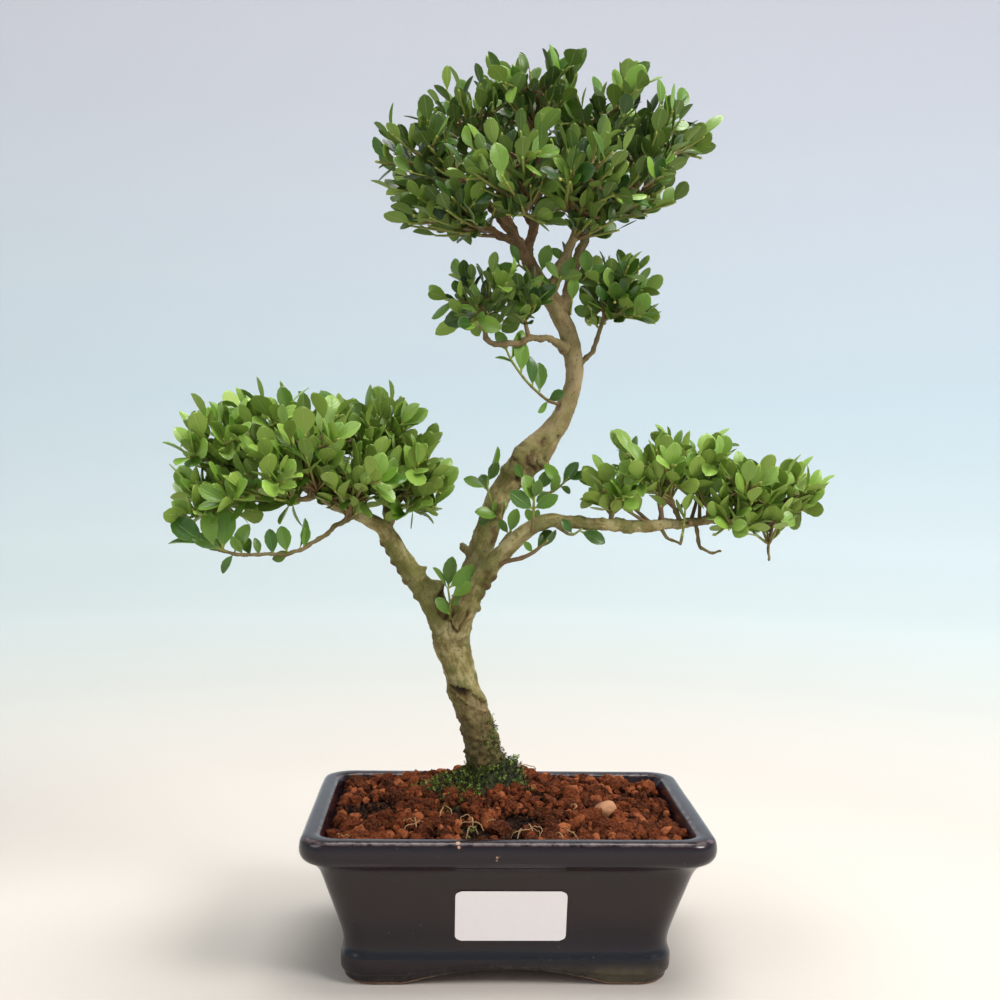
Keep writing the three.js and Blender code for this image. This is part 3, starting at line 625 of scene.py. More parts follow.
def make_soil_bed():
    rings = []
    inside = sorted((row[0], row[1]) for row in INSIDE_PATH[6:])
    heights = [row[0] for row in inside]
    widths = [row[1] for row in inside]
    for z in SOIL_LEVELS:
        half_x = float(np.interp(z, heights, widths)) - SOIL_GAP
        flat = rectangle_ring(half_x, half_x - HALF_X_OVER_Y, INNER_CORNER)
        rings.append([placed((x, y, z)) for x, y in flat])
    rim_half = float(np.interp(SOIL_SHOULDER, heights, widths)) - SOIL_GAP
    flat = rectangle_ring(rim_half, rim_half - HALF_X_OVER_Y, INNER_CORNER)
    for step in range(SOIL_RINGS):
        part = 1 - (step / SOIL_RINGS) ** 0.9
        ring = []
        for x, y in flat:
            px, py = x * part, y * part
            z = mound_height(px, py) - SOIL_SINK
            z += BED_ROUGHNESS * noise.fractal(Vector((px, py, 3)) * BED_GRAIN, 1.0, 2.0, 3)
            ring.append(placed((px, py, z)))
        rings.append(ring)
    bottom = placed((0, 0, SOIL_LEVELS[0]))
    top = placed((0, 0, mound_height(0, 0) - SOIL_SINK))
    points, faces = skin(rings, bottom, top)
    bed = new_mesh("peat_bed", points, faces)
    peat = Finish("peat")
    place = peat.place()
    crumb = peat.cloud(place, 320, 4, 0.65)
    patch = peat.cloud(place, 60, 3)
    colour = peat.mix(peat.step(crumb, 0.35, 0.7), (16, 9, 6), (46, 27, 19))
    colour = peat.mix(peat.step(patch, 0.5, 0.65) * 0.3, colour, (64, 33, 21))
    bed.data.materials.append(peat.done(Base_Color=colour, Roughness=0.92, Specular_IOR_Level=0.12,
                                        Normal=peat.relief(crumb, 0.0012, 0.9)))
    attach(bed, "root")
    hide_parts("soil")


make_soil_bed()


class Recipe:
    """A Geometry Nodes tree in the making, with named inputs for its sizes."""

    def __init__(self, name, inputs):
        self.tree = bpy.data.node_groups.new(name, "GeometryNodeTree")
        face = self.tree.interface
        face.new_socket("Geometry", in_out="OUTPUT", socket_type="NodeSocketGeometry")
        face.new_socket("Geometry", in_out="INPUT", socket_type="NodeSocketGeometry")
        for label, kind in inputs.items():
            face.new_socket(label, in_out="INPUT", socket_type="NodeSocket" + kind)
        self.given = self.tree.nodes.new("NodeGroupInput").outputs
        self.result = self.tree.nodes.new("NodeGroupOutput").inputs[0]

    def node(self, kind, settings=None, sockets=None):
        made = self.tree.nodes.new(kind)
        for key, value in (settings or {}).items():
            setattr(made, key, value)
        for key, value in (sockets or {}).items():
            if isinstance(value, bpy.types.NodeSocket):
                self.tree.links.new(value, made.inputs[key])
            else:
                made.inputs[key].default_value = value
        return made.outputs

    def named(self, name, kind="FLOAT"):
        made = self.node("GeometryNodeInputNamedAttribute", {"data_type": kind}, {"Name": name})
        return made["Attribute"]

    def copies(self, points, shapes, sockets):
        """One of a collection's shapes on each point, made real."""
        members = self.node("GeometryNodeCollectionInfo", {}, {
            "Collection": shapes, "Separate Children": True, "Reset Children": True})["Instances"]
        placed_shapes = self.node("GeometryNodeInstanceOnPoints", {}, {
            "Points": points, "Instance": members, "Pick Instance": True, **sockets})["Instances"]
        return self.node("GeometryNodeRealizeInstances", {}, {0: placed_shapes})[0]

    def painted(self, geometry, material):
        sockets = {"Geometry": geometry, "Material": material}
        return self.node("GeometryNodeSetMaterial", {}, sockets)["Geometry"]

    def turned(self, angles):
        return self.node("FunctionNodeEulerToRotation", {}, {0: angles})[0]

    def end(self, geometry):
        self.tree.links.new(geometry, self.result)


def grown(name, plan, recipe, values):
    """The plan's object with the recipe run on it, as a plain mesh object of its own."""
    modifier = plan.modifiers.new(recipe.tree.name, "NODES")
    modifier.node_group = recipe.tree
    for item in recipe.tree.interface.items_tree:
        if item.item_type == "SOCKET" and item.in_out == "INPUT" and item.name in values:
            modifier[item.identifier] = values[item.name]
    bpy.context.view_layer.update()
    graph = bpy.context.evaluated_depsgraph_get()
    mesh = bpy.data.meshes.new_from_object(plan.evaluated_get(graph), preserve_all_data_layers=True,
                                           depsgraph=graph)
    bpy.data.objects.remove(plan)
    mesh.name = name
    return add_object(name, mesh)


def make_random(seed):
    """A seeded draw between 0 and 1. It is the part's own, so that shoots grow where its do."""
    state = seed

    def draw():
        nonlocal state
        state = (state * 1664525 + 1013904223) & 0xFFFFFFFF
        return state / 4294967296

    return draw


def make_lump(name, levels, roughness, seed):
    """One crumbly lump of baked clay, a unit across, broken into rough flats and corners."""
    draw = make_random(seed * 37 + 5)
    flats = []
    for _ in range(9):
        direction = Vector((draw() - 0.5, draw() - 0.5, draw() - 0.5)).normalized()
        flats.append((direction, 0.27 + 0.16 * draw()))
    form = bmesh.new()
    bmesh.ops.create_icosphere(form, subdivisions=levels, radius=0.5)
    for corner in form.verts:
        out = corner.co.normalized()
        reach = min([0.5] + [far / out.dot(flat) for flat, far in flats if out.dot(flat) > 0.3])
        swell = noise.fractal(out * 2.2 + Vector((seed * 7.1, seed * 3.7, 0)), 1.0, 2.2, 3)
        corner.co = out * reach * (1 + roughness * swell)
    mesh = bpy.data.meshes.new(name)
    form.to_mesh(mesh)
    form.free()
    return bpy.data.objects.new(name, mesh)


def collection_of(name, members):
    group = bpy.data.collections.new(name)
    for member in members:
        group.objects.link(member)
    return group


def discard(group):
    for member in list(group.objects):
        bpy.data.objects.remove(member)
    bpy.data.collections.remove(group)


def scatter_recipe():
    """Points thrown on the plan's faces, each with one of the shapes, turned and sized at random."""
    recipe = Recipe("scatter", {
        "Shapes": "Collection", "Spacing": "Float", "Density": "Float", "Smallest": "Float",
        "Largest": "Float", "Skew": "Float", "Lean": "Float", "Seed": "Int", "Finish": "Material"})
    given = recipe.given
    thrown = recipe.node("GeometryNodeDistributePointsOnFaces", {"distribute_method": "POISSON"},
                         {"Mesh": given["Geometry"], "Distance Min": given["Spacing"],
                          "Density Max": given["Density"], "Density Factor": recipe.named("crowding"),
                          "Seed": given["Seed"]})
    draw = recipe.node("FunctionNodeRandomValue", {"data_type": "FLOAT"}, {"Seed": given["Seed"]})[1]
    skewed = recipe.node("ShaderNodeMath", {"operation": "POWER"}, {0: draw, 1: given["Skew"]})[0]
    size = recipe.node("ShaderNodeMapRange", {}, {"Value": skewed, "To Min": given["Smallest"],
                                                  "To Max": given["Largest"]})[0]
    leaned = recipe.node("ShaderNodeVectorMath", {"operation": "SCALE"},
                         {0: (pi, pi, 2 * pi), "Scale": given["Lean"]})[0]
    backwards = recipe.node("ShaderNodeVectorMath", {"operation": "SCALE"}, {0: leaned, "Scale": -1.0})[0]
    turn = recipe.node("FunctionNodeRandomValue", {"data_type": "FLOAT_VECTOR"},
                       {0: backwards, 1: leaned, "Seed": given["Seed"]})[0]
    number = recipe.node("GeometryNodeInputIndex")[0]
    spin = recipe.node("FunctionNodeRandomValue", {"data_type": "FLOAT"},
                       {2: 0.0, 3: 2 * pi, "Seed": given["Seed"], "ID": number})[1]
    spun = recipe.node("ShaderNodeCombineXYZ", {}, {"Z": spin})[0]
    both = recipe.node("ShaderNodeVectorMath", {"operation": "ADD"}, {0: turn, 1: spun})[0]
    tone = recipe.node("FunctionNodeRandomValue", {"data_type": "FLOAT"}, {"Seed": 91})[1]
    toned = recipe.node("GeometryNodeStoreNamedAttribute", {"data_type": "FLOAT", "domain": "POINT"},
                        {"Geometry": thrown["Points"], "Name": "tone", "Value": tone})["Geometry"]
    real = recipe.copies(toned, given["Shapes"], {"Rotation": recipe.turned(both), "Scale": size})
    recipe.end(recipe.painted(real, given["Finish"]))
    return recipe


SCATTER = scatter_recipe()
LAND_STEP = 2.0


def land(name, half_x, half_y, height, crowding):
    """A sheet over the soil to throw pieces on. crowding tells where they lie thick or thin."""
    columns, rows = int(2 * half_x / LAND_STEP), int(2 * half_y / LAND_STEP)
    points, marks, faces = [], [], []
    for row in range(rows + 1):
        for column in range(columns + 1):
            x = half_x * (2 * column / columns - 1)
            y = half_y * (2 * row / rows - 1)
            points.append(placed((x, y, height(x, y))))
            marks.append(crowding(x, y))
    for row in range(rows):
        for column in range(columns):
            a = row * (columns + 1) + column
            faces.append((a, a + 1, a + columns + 2, a + columns + 1))
    sheet = new_mesh(name, points, faces)
    store(sheet.data, "crowding", marks)
    return sheet


# Where the peat shows between the lumps: place and radius of each patch.
PEAT_PATCHES = [(-70, 6, 24), (-84, -30, 13), (-40, -50, 15), (-6, -40, 26), (8, -20, 15),
                (84, -8, 12), (86, 30, 12), (62, -50, 10), (26, 10, 13), (-60, -46, 8),
                (-24, -8, 12), (54, -11, 9)]
# Nothing lies inside the trunk: its place in the soil, and how far it reaches across and back.
TRUNK_FOOT = (-8, 26)
TRUNK_HOLE = (15, 14)


def clay_cover(x, y):
    """1 where clay lumps lie thick, less where the peat shows, and 0 inside the trunk."""
    cover = 1.0
    for px, py, radius in PEAT_PATCHES:
        near = hypot(x - px, (y - py) * 1.2) / radius
        cover = min(cover, max(0.08, min(1.0, 0.1 + (near - 0.6) * 2.4)))
    trunk = hypot((x - TRUNK_FOOT[0]) / TRUNK_HOLE[0], (y - TRUNK_FOOT[1]) / TRUNK_HOLE[1])
    return 0.0 if trunk < 1 else cover


def peat_cover(x, y):
    return max(0.0, 1 - 1.3 * clay_cover(x, y))


def baked_clay(name, gap_shade):
    clay = Finish(name)
    place = clay.place()
    tone = clay.mark("tone")
    crumb = clay.cloud(place, 700, 4, 0.7)
    lumpy = clay.cloud(place, 190, 3)
    colour = clay.ramp(tone, [(0.0, 36, 15, 8), (0.35, 70, 30, 14),
                              (0.75, 112, 54, 28), (1.0, 166, 96, 60)])
    colour = clay.mix(clay.step(crumb, 0.38, 0.7) * 0.45, colour, (140, 80, 48))
    colour = clay.mix(clay.step(1 - crumb, 0.48, 0.72) * 0.9, colour, (32, 15, 10))
    colour = clay.mix(clay.step(lumpy, 0.55, 0.7) * 0.35, colour, (52, 26, 18))
    # Painted shade: the whole finish is darkened by the given amount, for crumbs that lie in the gaps
    # between the lumps.
    colour = clay.mix(gap_shade, colour, (24, 11, 6))
    return clay.done(Base_Color=colour, Roughness=0.93, Specular_IOR_Level=0.1,
                     Normal=clay.relief(crumb + lumpy * 0.8, 0.0011, 0.95))


def peat_crumb():
    crumb = Finish("peat_crumb")
    tone = crumb.mark("tone")
    speck = crumb.cloud(crumb.place(), 600, 3)
    colour = crumb.ramp(tone, [(0.0, 20, 11, 7), (0.7, 46, 26, 17), (1.0, 84, 48, 30)])
    colour = crumb.mix(crumb.step(speck, 0.5, 0.7) * 0.5, colour, (14, 10, 9))
    return crumb.done(Base_Color=colour, Roughness=0.92, Specular_IOR_Level=0.12,
                      Normal=crumb.relief(speck, 0.0008, 0.8))


SOIL_HALF_X = 86
SOIL_HALF_Y = 56
CRUMB_DENSITY = 400000.0
LUMP_SHAPES = 7
# The soil is heaped up towards the back wall: how high, where it starts and over what depth.
BACK_HEAP = 2.6
BACK_HEAP_Y = 30
BACK_HEAP_DEPTH = 15

# Each layer: its finish, then how far out it lies, how round and rough its shapes are, how high
# above the bed it lies, how much that height varies, and how close and large its pieces are.
CLAY_LAYERS = [
    # The crumbs' finish is darkened as painted shade of the gaps they lie in.
    {"name": "clay_crumbs", "finish": lambda: baked_clay("clay_crumbs", 0.78), "cover": clay_cover,
     "half": (SOIL_HALF_X + 2, SOIL_HALF_Y + 2), "levels": 1, "rough": 0.25, "rise": -0.6,
     "heap": 1.5, "spacing": 1.7, "smallest": 1.4, "largest": 4.6, "skew": 1.6, "seed": 3},
    {"name": "clay_lumps", "finish": lambda: baked_clay("clay_lumps", 0.0), "cover": clay_cover,
     "half": (SOIL_HALF_X, SOIL_HALF_Y), "levels": 2, "rough": 0.3, "rise": 0.4,
     "heap": 3.4, "spacing": 3.7, "smallest": 4.0, "largest": 11.5, "skew": 2.4, "seed": 8},
    {"name": "peat_crumbs", "finish": peat_crumb, "cover": peat_cover,
     "half": (SOIL_HALF_X, SOIL_HALF_Y), "levels": 1, "rough": 0.6, "rise": -1.2,
     "heap": 1.0, "spacing": 1.5, "smallest": 1.2, "largest": 4.4, "skew": 1.8, "seed": 5},
]


def make_clay(layer):
    lumps = [make_lump(f"lump_{i}", layer["levels"], layer["rough"], i + 1) for i in range(LUMP_SHAPES)]
    shapes = collection_of(layer["name"] + "_shapes", lumps)

    def height(x, y):
        heap = layer["heap"] * noise.noise(Vector((x, y, layer["seed"])) * 0.1)
        back = BACK_HEAP * held((y - BACK_HEAP_Y) / BACK_HEAP_DEPTH)
        return mound_height(x, y) + layer["rise"] + heap + back

    sheet = land(layer["name"] + "_land", *layer["half"], height, layer["cover"])
    clay = grown(layer["name"], sheet, SCATTER, {
        "Shapes": shapes, "Spacing": layer["spacing"] * MM, "Density": CRUMB_DENSITY,
        "Smallest": layer["smallest"] * MM, "Largest": layer["largest"] * MM, "Skew": layer["skew"],
        "Lean": 1.0, "Seed": layer["seed"], "Finish": layer["finish"]()})
    discard(shapes)
    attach(clay, "root")


for clay_layer in CLAY_LAYERS:
    make_clay(clay_layer)

# Dry roots: tan, curly, hair-thin rootlets that lie in loose tangles on the peat. One more
# sticks out of the moss into the air, to the right of the trunk.

# Place, spread and number of roots of each tangle.
ROOT_TANGLES = [(-16, -30, 7, 5), (-48, -26, 7, 3), (8, -34, 6, 4), (28, -38, 7, 3),
                (-82, -44, 5, 2), (30, -8, 7, 2), (-30, -10, 7, 2)]
ROOT_RADIUS = 0.3
ROOT_STEP = 1.35
ROOT_LIMIT_X = 84
ROOT_LIMIT_Y = 54
ROOT_CURL = [(3, 21, 89), (8, 20, 91.5), (11.5, 20, 92), (14.5, 20, 91.2), (16.4, 20, 91),
             (17.4, 20, 89.8), (16.9, 20, 88.6)]
CURL_RADIUS = 0.28


def tubes_along(recipe, chains, sides):
    """Round tubes along chains of edges, as thick at each point as its thickness mark says."""
    curve = recipe.node("GeometryNodeMeshToCurve", {}, {"Mesh": chains})["Curve"]
    circle = {"Resolution": sides, "Radius": 1.0}
    profile = recipe.node("GeometryNodeCurvePrimitiveCircle", {}, circle)["Curve"]
    return recipe.node("GeometryNodeCurveToMesh", {}, {
        "Curve": curve, "Profile Curve": profile, "Scale": recipe.named("thickness"),
        "Fill Caps": True})["Mesh"]


def twig_recipe():
    recipe = Recipe("twigs", {"Sides": "Int", "Finish": "Material"})
    given = recipe.given
    tubes = tubes_along(recipe, given["Geometry"], given["Sides"])
    recipe.end(recipe.painted(tubes, given["Finish"]))
    return recipe


TWIGS = twig_recipe()


def chains_plan(name, chains):
    """A mesh of loose edge chains from rows of [point, radius], both in millimetres."""
    points, radii, edges = [], [], []
    for chain in chains:
        for i, (point, radius) in enumerate(chain):
            if i:
                edges.append((len(points) - 1, len(points)))
            points.append(tuple(placed(point)))
            radii.append(radius * MM)
    mesh = bpy.data.meshes.new(name)
    mesh.from_pydata(points, edges, [])
    store(mesh, "thickness", radii)
    return add_object(name, mesh)


def make_rootlets():
    draw = make_random(19)
    chains = []
    for cx, cy, spread, count in ROOT_TANGLES:
        for _ in range(count):
            x = cx + spread * (2 * draw() - 1)
            y = cy + spread * (2 * draw() - 1)
            heading = 2 * pi * draw()
            bend = 0.9 * (draw() - 0.5)
            steps = 6 + int(8 * draw())
            chain = []
            for i in range(steps):
                part = i / (steps - 1)
                z = mound_height(x, y) + 2.6 + 2.2 * sin(pi * part) * (0.4 + draw() * 0.5)
                if i == 0 or i == steps - 1:
                    z -= 2.5
                chain.append(((x, y, z), ROOT_RADIUS * (1 - 0.6 * part)))
                heading += bend + 0.7 * (draw() - 0.5)
                x = max(-ROOT_LIMIT_X, min(ROOT_LIMIT_X, x + ROOT_STEP * cos(heading)))
                y = max(-ROOT_LIMIT_Y, min(ROOT_LIMIT_Y, y + ROOT_STEP * sin(heading)))
            chains.append(chain)
    chains.append([(point, CURL_RADIUS) for point in ROOT_CURL])
    root = Finish("dry_root")
    place = root.place()
    fleck = root.cloud(place, 600, 3)
    colour = root.mix(fleck, (120, 88, 56), (196, 162, 116))
    finish = root.done(Base_Color=colour, Roughness=0.8, Normal=root.relief(fleck, 0.0002, 0.5))
    rootlets = grown("dry_rootlets", chains_plan("rootlets_plan", chains), TWIGS,
                     {"Sides": 5, "Finish": finish})
    shade(rootlets.data)
    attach(rootlets, "root")


make_rootlets()

# Moss: a collar of small green leaflets and dark stems that has grown over the crumbs
# round the trunk's foot and a little way up the bark, with a few seedlings further out.

# Green seedlings out on the soil: place and reach of each tuft.
SEEDLINGS = [(-71, -33, 4), (-64, -35, 4), (-57, -33, 4), (-19, -35, 4), (12, 13, 5),
             (-32, -6, 4), (-40, 22, 4), (-62, 18, 4), (-70, 44, 4), (38, 30, 3)]
MOSS_COLUMNS = 56
MOSS_ROWS = 40
MOSS_LAND = (50, 45)
FOOT_X = -6.5
FOOT_Y = 27
FROND_SHAPES = 5
FROND_SPACING = 0.7
FROND_DENSITY = 2000000.0
MOSS_X = -20
MOSS_Y = 21
MOSS_REACH_X = 33
MOSS_REACH_Y = 19


def moss_edge(angle):
    """The collar's lobed edge, as a part of its reach."""
    return 1 + 0.22 * sin(3 * angle + 0.8)


def moss_nearness(x, y):
    """1 at the middle of the collar, 0 at its edge."""
    dx, dy = x - MOSS_X, y - MOSS_Y
    return 1 - hypot(dx / MOSS_REACH_X, dy / MOSS_REACH_Y) / moss_edge(atan2(dy, dx))


def moss_climb(x, y):
    """How far the moss has crept up the foot of the trunk, most on its right and front."""
    dx, dy = x - FOOT_X, y - FOOT_Y
    side = 0.35 + 0.65 * max(0.0, cos(atan2(dy, dx) + 0.7))
    ragged = 1 + 0.5 * noise.noise(Vector((x, y, 3)) * 0.4)
    return 13 * side * ragged * exp(-((hypot(dx, dy) - 13.5) / 3.6) ** 2)


def seedling_nearness(x, y):
    return max(1 - hypot(x - sx, y - sy) / reach for sx, sy, reach in SEEDLINGS)


def moss_height(x, y):
    """The sheet that the fronds stand on. It dips under the soil where nothing grows."""
    near = moss_nearness(x, y)
    lumps = 0.5 + 0.5 * noise.noise(Vector((x, y, 9)) * 0.22)
    if near > 0:
        above = 2.2 + 3.4 * near * (0.5 + lumps)
    else:
        above = 1.8 if seedling_nearness(x, y) > 0 else -4
    return mound_height(x, y) + moss_climb(x, y) + above


def moss_crowding(x, y):
    near = moss_nearness(x, y)
    ragged = noise.noise(Vector((x, y, 0)) * 0.16)
    collar = min(1.0, near * 4 + ragged * 1.2, near * 4 + 1.6)
    return max(0.0, collar, min(0.4, seedling_nearness(x, y)))


def moss_green():
    moss = Finish("moss_green")
    tone = moss.mark("tone")
    colour = moss.ramp(tone, [(0.0, 18, 17, 8), (0.4, 44, 54, 17), (0.75, 82, 104, 32),
                              (1.0, 146, 170, 72)])
    blotch = moss.cloud(moss.place(), 130, 3)
    colour = moss.mix(moss.step(blotch, 0.55, 0.7) * 0.6, colour, (50, 34, 20))
    return moss.done(Base_Color=colour, Roughness=0.7, Specular_IOR_Level=0.3)


MOSS_GREEN = moss_green()


def make_frond(name, seed):
    """One moss stem with a few pointed leaflets, a unit high."""
    draw = make_random(seed)
    points, faces = [], []
    for i in range(6):
        turn = i * 2.4 + draw()
        base = Vector((0, 0, 0.15 + 0.13 * i))
        out = Vector((cos(turn), sin(turn), 0.7 + 0.6 * draw())).normalized()
        side = out.cross(Vector((0, 0, 1))).normalized() * (0.11 + 0.05 * draw())
        length = 0.34 + 0.22 * draw()
        start = len(points)
        lift = Vector((0, 0, 0.05))
        points += [base, base + out * length * 0.5 + side, base + out * length,
                   base + out * length * 0.5 - side, base + out * length * 0.5 + lift]
        for a, b in ((0, 1), (1, 2), (2, 3), (3, 0)):
            faces.append((start + a, start + b, start + 4))
        faces.append((start, start + 3, start + 2, start + 1))
    mesh = bpy.data.meshes.new(name)
    mesh.from_pydata(points, [], faces)
    return bpy.data.objects.new(name, mesh)


def make_moss_mat():
    columns, rows = MOSS_COLUMNS, MOSS_ROWS
    points, faces = [], []
    for row in range(rows + 1):
        for column in range(columns):
            angle = 2 * pi * column / columns
            edge = moss_edge(angle) * (row / rows)
            dx, dy = MOSS_REACH_X * edge * cos(angle), MOSS_REACH_Y * edge * sin(angle)
            points.append((MOSS_X + dx, MOSS_Y + dy))
    raised = []
    for x, y in points:
        near = max(0.0, moss_nearness(x, y))
        lumps = 0.5 + 0.5 * noise.noise(Vector((x, y, 9)) * 0.35)
        z = mound_height(x, y) + moss_climb(x, y) - 1.2 + 3.2 * sqrt(near) * (0.5 + lumps)
        raised.append(placed((x, y, z)))
    under = [placed((x, y, mound_height(x, y) - 3.5)) for x, y in points]
    count = len(points)
    for row in range(rows):
        for column in range(columns):
            after = (column + 1) % columns
            a, b = row * columns + column, row * columns + after
            if row:
                faces.append((a, a + columns, b + columns, b))
                faces.append((count + b, count + b + columns, count + a + columns, count + a))
    faces.append(tuple(columns + column for column in range(columns)))
    faces.append(tuple(count + columns + column for column in range(columns - 1, -1, -1)))
    last = rows * columns
    for column in range(columns):
        after = (column + 1) % columns
        faces.append((last + column, count + last + column, count + last + after, last + after))
    mat = new_mesh("moss_mat", raised + under, faces)
    loose = bmesh.new()
    loose.from_mesh(mat.data)
    bmesh.ops.delete(loose, geom=[v for v in loose.verts if not v.link_faces], context="VERTS")
    bmesh.ops.recalc_face_normals(loose, faces=loose.faces)
    loose.to_mesh(mat.data)
    loose.free()
    humus = Finish("moss_humus")
    place = humus.place()
    crumb = humus.cloud(place, 420, 4, 0.65)
    colour = humus.mix(humus.step(crumb, 0.4, 0.6), (24, 20, 12), (58, 62, 26))
    mat.data.materials.append(humus.done(Base_Color=colour, Roughness=0.9,
                                         Normal=humus.relief(crumb, 0.0014, 1.0)))
    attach(mat, "root")
    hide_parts("moss")


def grow_moss(name, sheet, first_shape, smallest, largest, lean, seed):
    """Fronds all over a sheet, as thick as its crowding mark says."""
    fronds = [make_frond(f"{name}_{i}", i + first_shape) for i in range(FROND_SHAPES)]
    shapes = collection_of(name + "_shapes", fronds)
    moss = grown(name, sheet, SCATTER, {
        "Shapes": shapes, "Spacing": FROND_SPACING * MM, "Density": FROND_DENSITY,
        "Smallest": smallest * MM, "Largest": largest * MM, "Skew": 1.6, "Lean": lean, "Seed": seed,
        "Finish": MOSS_GREEN})
    discard(shapes)
    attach(moss, "root")


make_moss_mat()
moss_land = land("moss_land", *MOSS_LAND, lambda x, y: moss_height(x, y) - 0.8, moss_crowding)
grow_moss("moss_fronds", moss_land, 5, smallest=1.1, largest=3.2, lean=0.25, seed=4)

# Pebble: one smooth tan stone, rather blocky and tipped to the left, lying half sunk among
# the clay lumps.

PEBBLE_PLACE = Vector((53, -2, 73.6))
PEBBLE_RADII = (6.2, 4.6, 4.3)
PEBBLE_TIP = -0.22
PEBBLE_TURN = 0.5


def make_pebble():
    form = bmesh.new()
    bmesh.ops.create_icosphere(form, subdivisions=5, radius=1.0)
    turn = Matrix.Rotation(PEBBLE_TIP, 3, "Y") @ Matrix.Rotation(PEBBLE_TURN, 3, "Z")
    for corner in form.verts:
        out = corner.co.normalized()
        swell = 0.07 * noise.noise(out * 1.6) + 0.02 * noise.noise(out * 6)
        blocky = sum(abs(part) ** 3 for part in out) ** -0.2
        shape = Vector([part * radius for part, radius in zip(out, PEBBLE_RADII)]) * blocky * (1 + swell)
        corner.co = placed(PEBBLE_PLACE + turn @ shape)
    pebble = new_mesh("tan_pebble", [], [])
    form.to_mesh(pebble.data)
    form.free()
    shade(pebble.data)
    stone = Finish("pebble_stone")
    place = stone.place()
    grain = stone.cloud(place, 480, 4, 0.6)
    cloud = stone.cloud(place, 120, 2)
    colour = stone.mix(stone.step(cloud, 0.35, 0.65), (146, 98, 64), (178, 128, 90))
    colour = stone.mix(stone.step(grain, 0.55, 0.7) * 0.5, colour, (112, 70, 48))
    pebble.data.materials.append(stone.done(Base_Color=colour, Roughness=0.72,
                                            Normal=stone.relief(grain, 0.0004, 0.6)))
    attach(pebble, "root")
    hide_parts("pebble")


make_pebble()

# Wood: trunk, branches and roots grew as one piece. Its bark is thin and grey-brown, green
# with algae where it stays damp, dotted with pores, and rough and peeling near the soil.

# Each limb: rows of place and radius in millimetres, from its root to its tip.
TRUNK = [(-4, 28, 52, 9), (-5, 27.5, 66, 11), (-6, 27, 77, 11.8), (-8, 26.5, 87, 10.2),
         (-12, 26, 101, 9), (-16, 25.5, 116, 8.5), (-20, 24.5, 128, 9), (-24, 23.5, 140, 8.5),
         (-27.5, 22, 152, 8.9), (-30, 20.5, 163, 9.6), (-31, 20, 170, 6)]
UPPER_TRUNK = [(-28, 21, 156, 8.2), (-24, 20, 174, 7.6), (-18, 19, 194, 6.9), (-13, 18, 212, 6.6),
               (-8, 16, 228, 6.2), (-2.5, 14.5, 241, 6.5), (5, 13, 251, 7.4), (13, 12, 259.5, 8.7),
               (20, 11, 268, 7), (26, 10.5, 277, 5.6), (31, 10, 288, 5), (34, 9, 299, 4.6),
               (33.5, 8, 309, 4.7), (31, 7, 320, 4.6), (27, 5.5, 330, 4.8), (22.5, 4, 338, 4.9),
               (17, 3, 346, 4.3)]
LEFT_LIMB = [(-29.5, 21, 160, 8), (-36, 17.5, 174, 7.2), (-42, 14, 184, 6.4), (-49, 10, 195, 5.5),
             (-56, 6, 205, 5), (-62, 2, 215, 4.6), (-67, -2, 222, 4), (-79, -8, 228, 3.2),
             (-90, -13, 234, 2.7), (-102, -17, 241, 2.2), (-122, -14, 252, 1.8), (-148, -9, 262, 1.3)]
RIGHT_LIMB = [(-27, 18, 164, 6.3), (-23, 12, 175, 5.9), (-18, 6, 187, 5.3), (-12, 1.5, 197, 4.9),
              (-4, -3, 207, 4.7), (4, -7, 216, 4.4), (12, -10, 222.5, 4), (21, -12, 226, 3.6),
              (34, -14, 225, 3.2), (50, -15, 224.5, 3.1), (68, -15, 224, 3), (86, -13, 225, 2.6),
              (102, -11, 227, 2.2), (118, -9, 228, 1.9), (132, -8, 229, 1.5), (145, -8, 236, 1.1)]
CROWN_LIMBS = [
    [(18, 3, 344, 4.2), (13, 2, 352, 3.9), (7, 0, 362, 3.4), (2, -2, 370, 2.9), (-9, -2, 384, 2.3),
     (-24, -1, 399, 1.8), (-44, 0, 411, 1.2)],
    [(2, -2, 369, 2.5), (-3, -1, 383, 2.2), (-10, 2, 402, 1.8), (-23, 6, 436, 1.2)],
    [(5, -1, 365, 2.4), (-4, -7, 370, 2.2), (-14, -12, 375, 1.8), (-33, -14, 385, 1.2)],
    [(8, 1, 358, 3), (9, 6, 370, 2.6), (12, 9, 382, 2.4), (13, 8, 402, 2.1), (12, 0, 447, 1.2)],
    [(11, 8, 378, 2.2), (6, 20, 392, 1.9), (-6, 42, 440, 1.1)],
    [(12, 9, 385, 2), (24, 26, 400, 1.8), (49, 44, 436, 1.1)],
    [(27, 5, 331, 3.6), (29.5, 6, 343, 3.1), (32, 6, 355, 2.7), (38, 4, 372, 2.3), (48, 1, 387, 2),
     (61, 0, 403, 1.7), (74, 4, 425, 1.1)],
    [(38, 4, 371, 2), (41, 1, 392, 1.8), (46, -4, 432, 1.1)],
    [(52, 1, 391, 1.7), (64, -12, 399, 1.1)],
    [(20, 3, 344, 3.1), (25, -4, 357, 2.6), (29.5, -10, 366, 2.3), (32, -20, 380, 1.9),
     (31, -38, 401, 1.2)],
    [(32, -19, 379, 1.7), (16, -30, 390, 1.5), (-3, -42, 405, 1.1)],
]
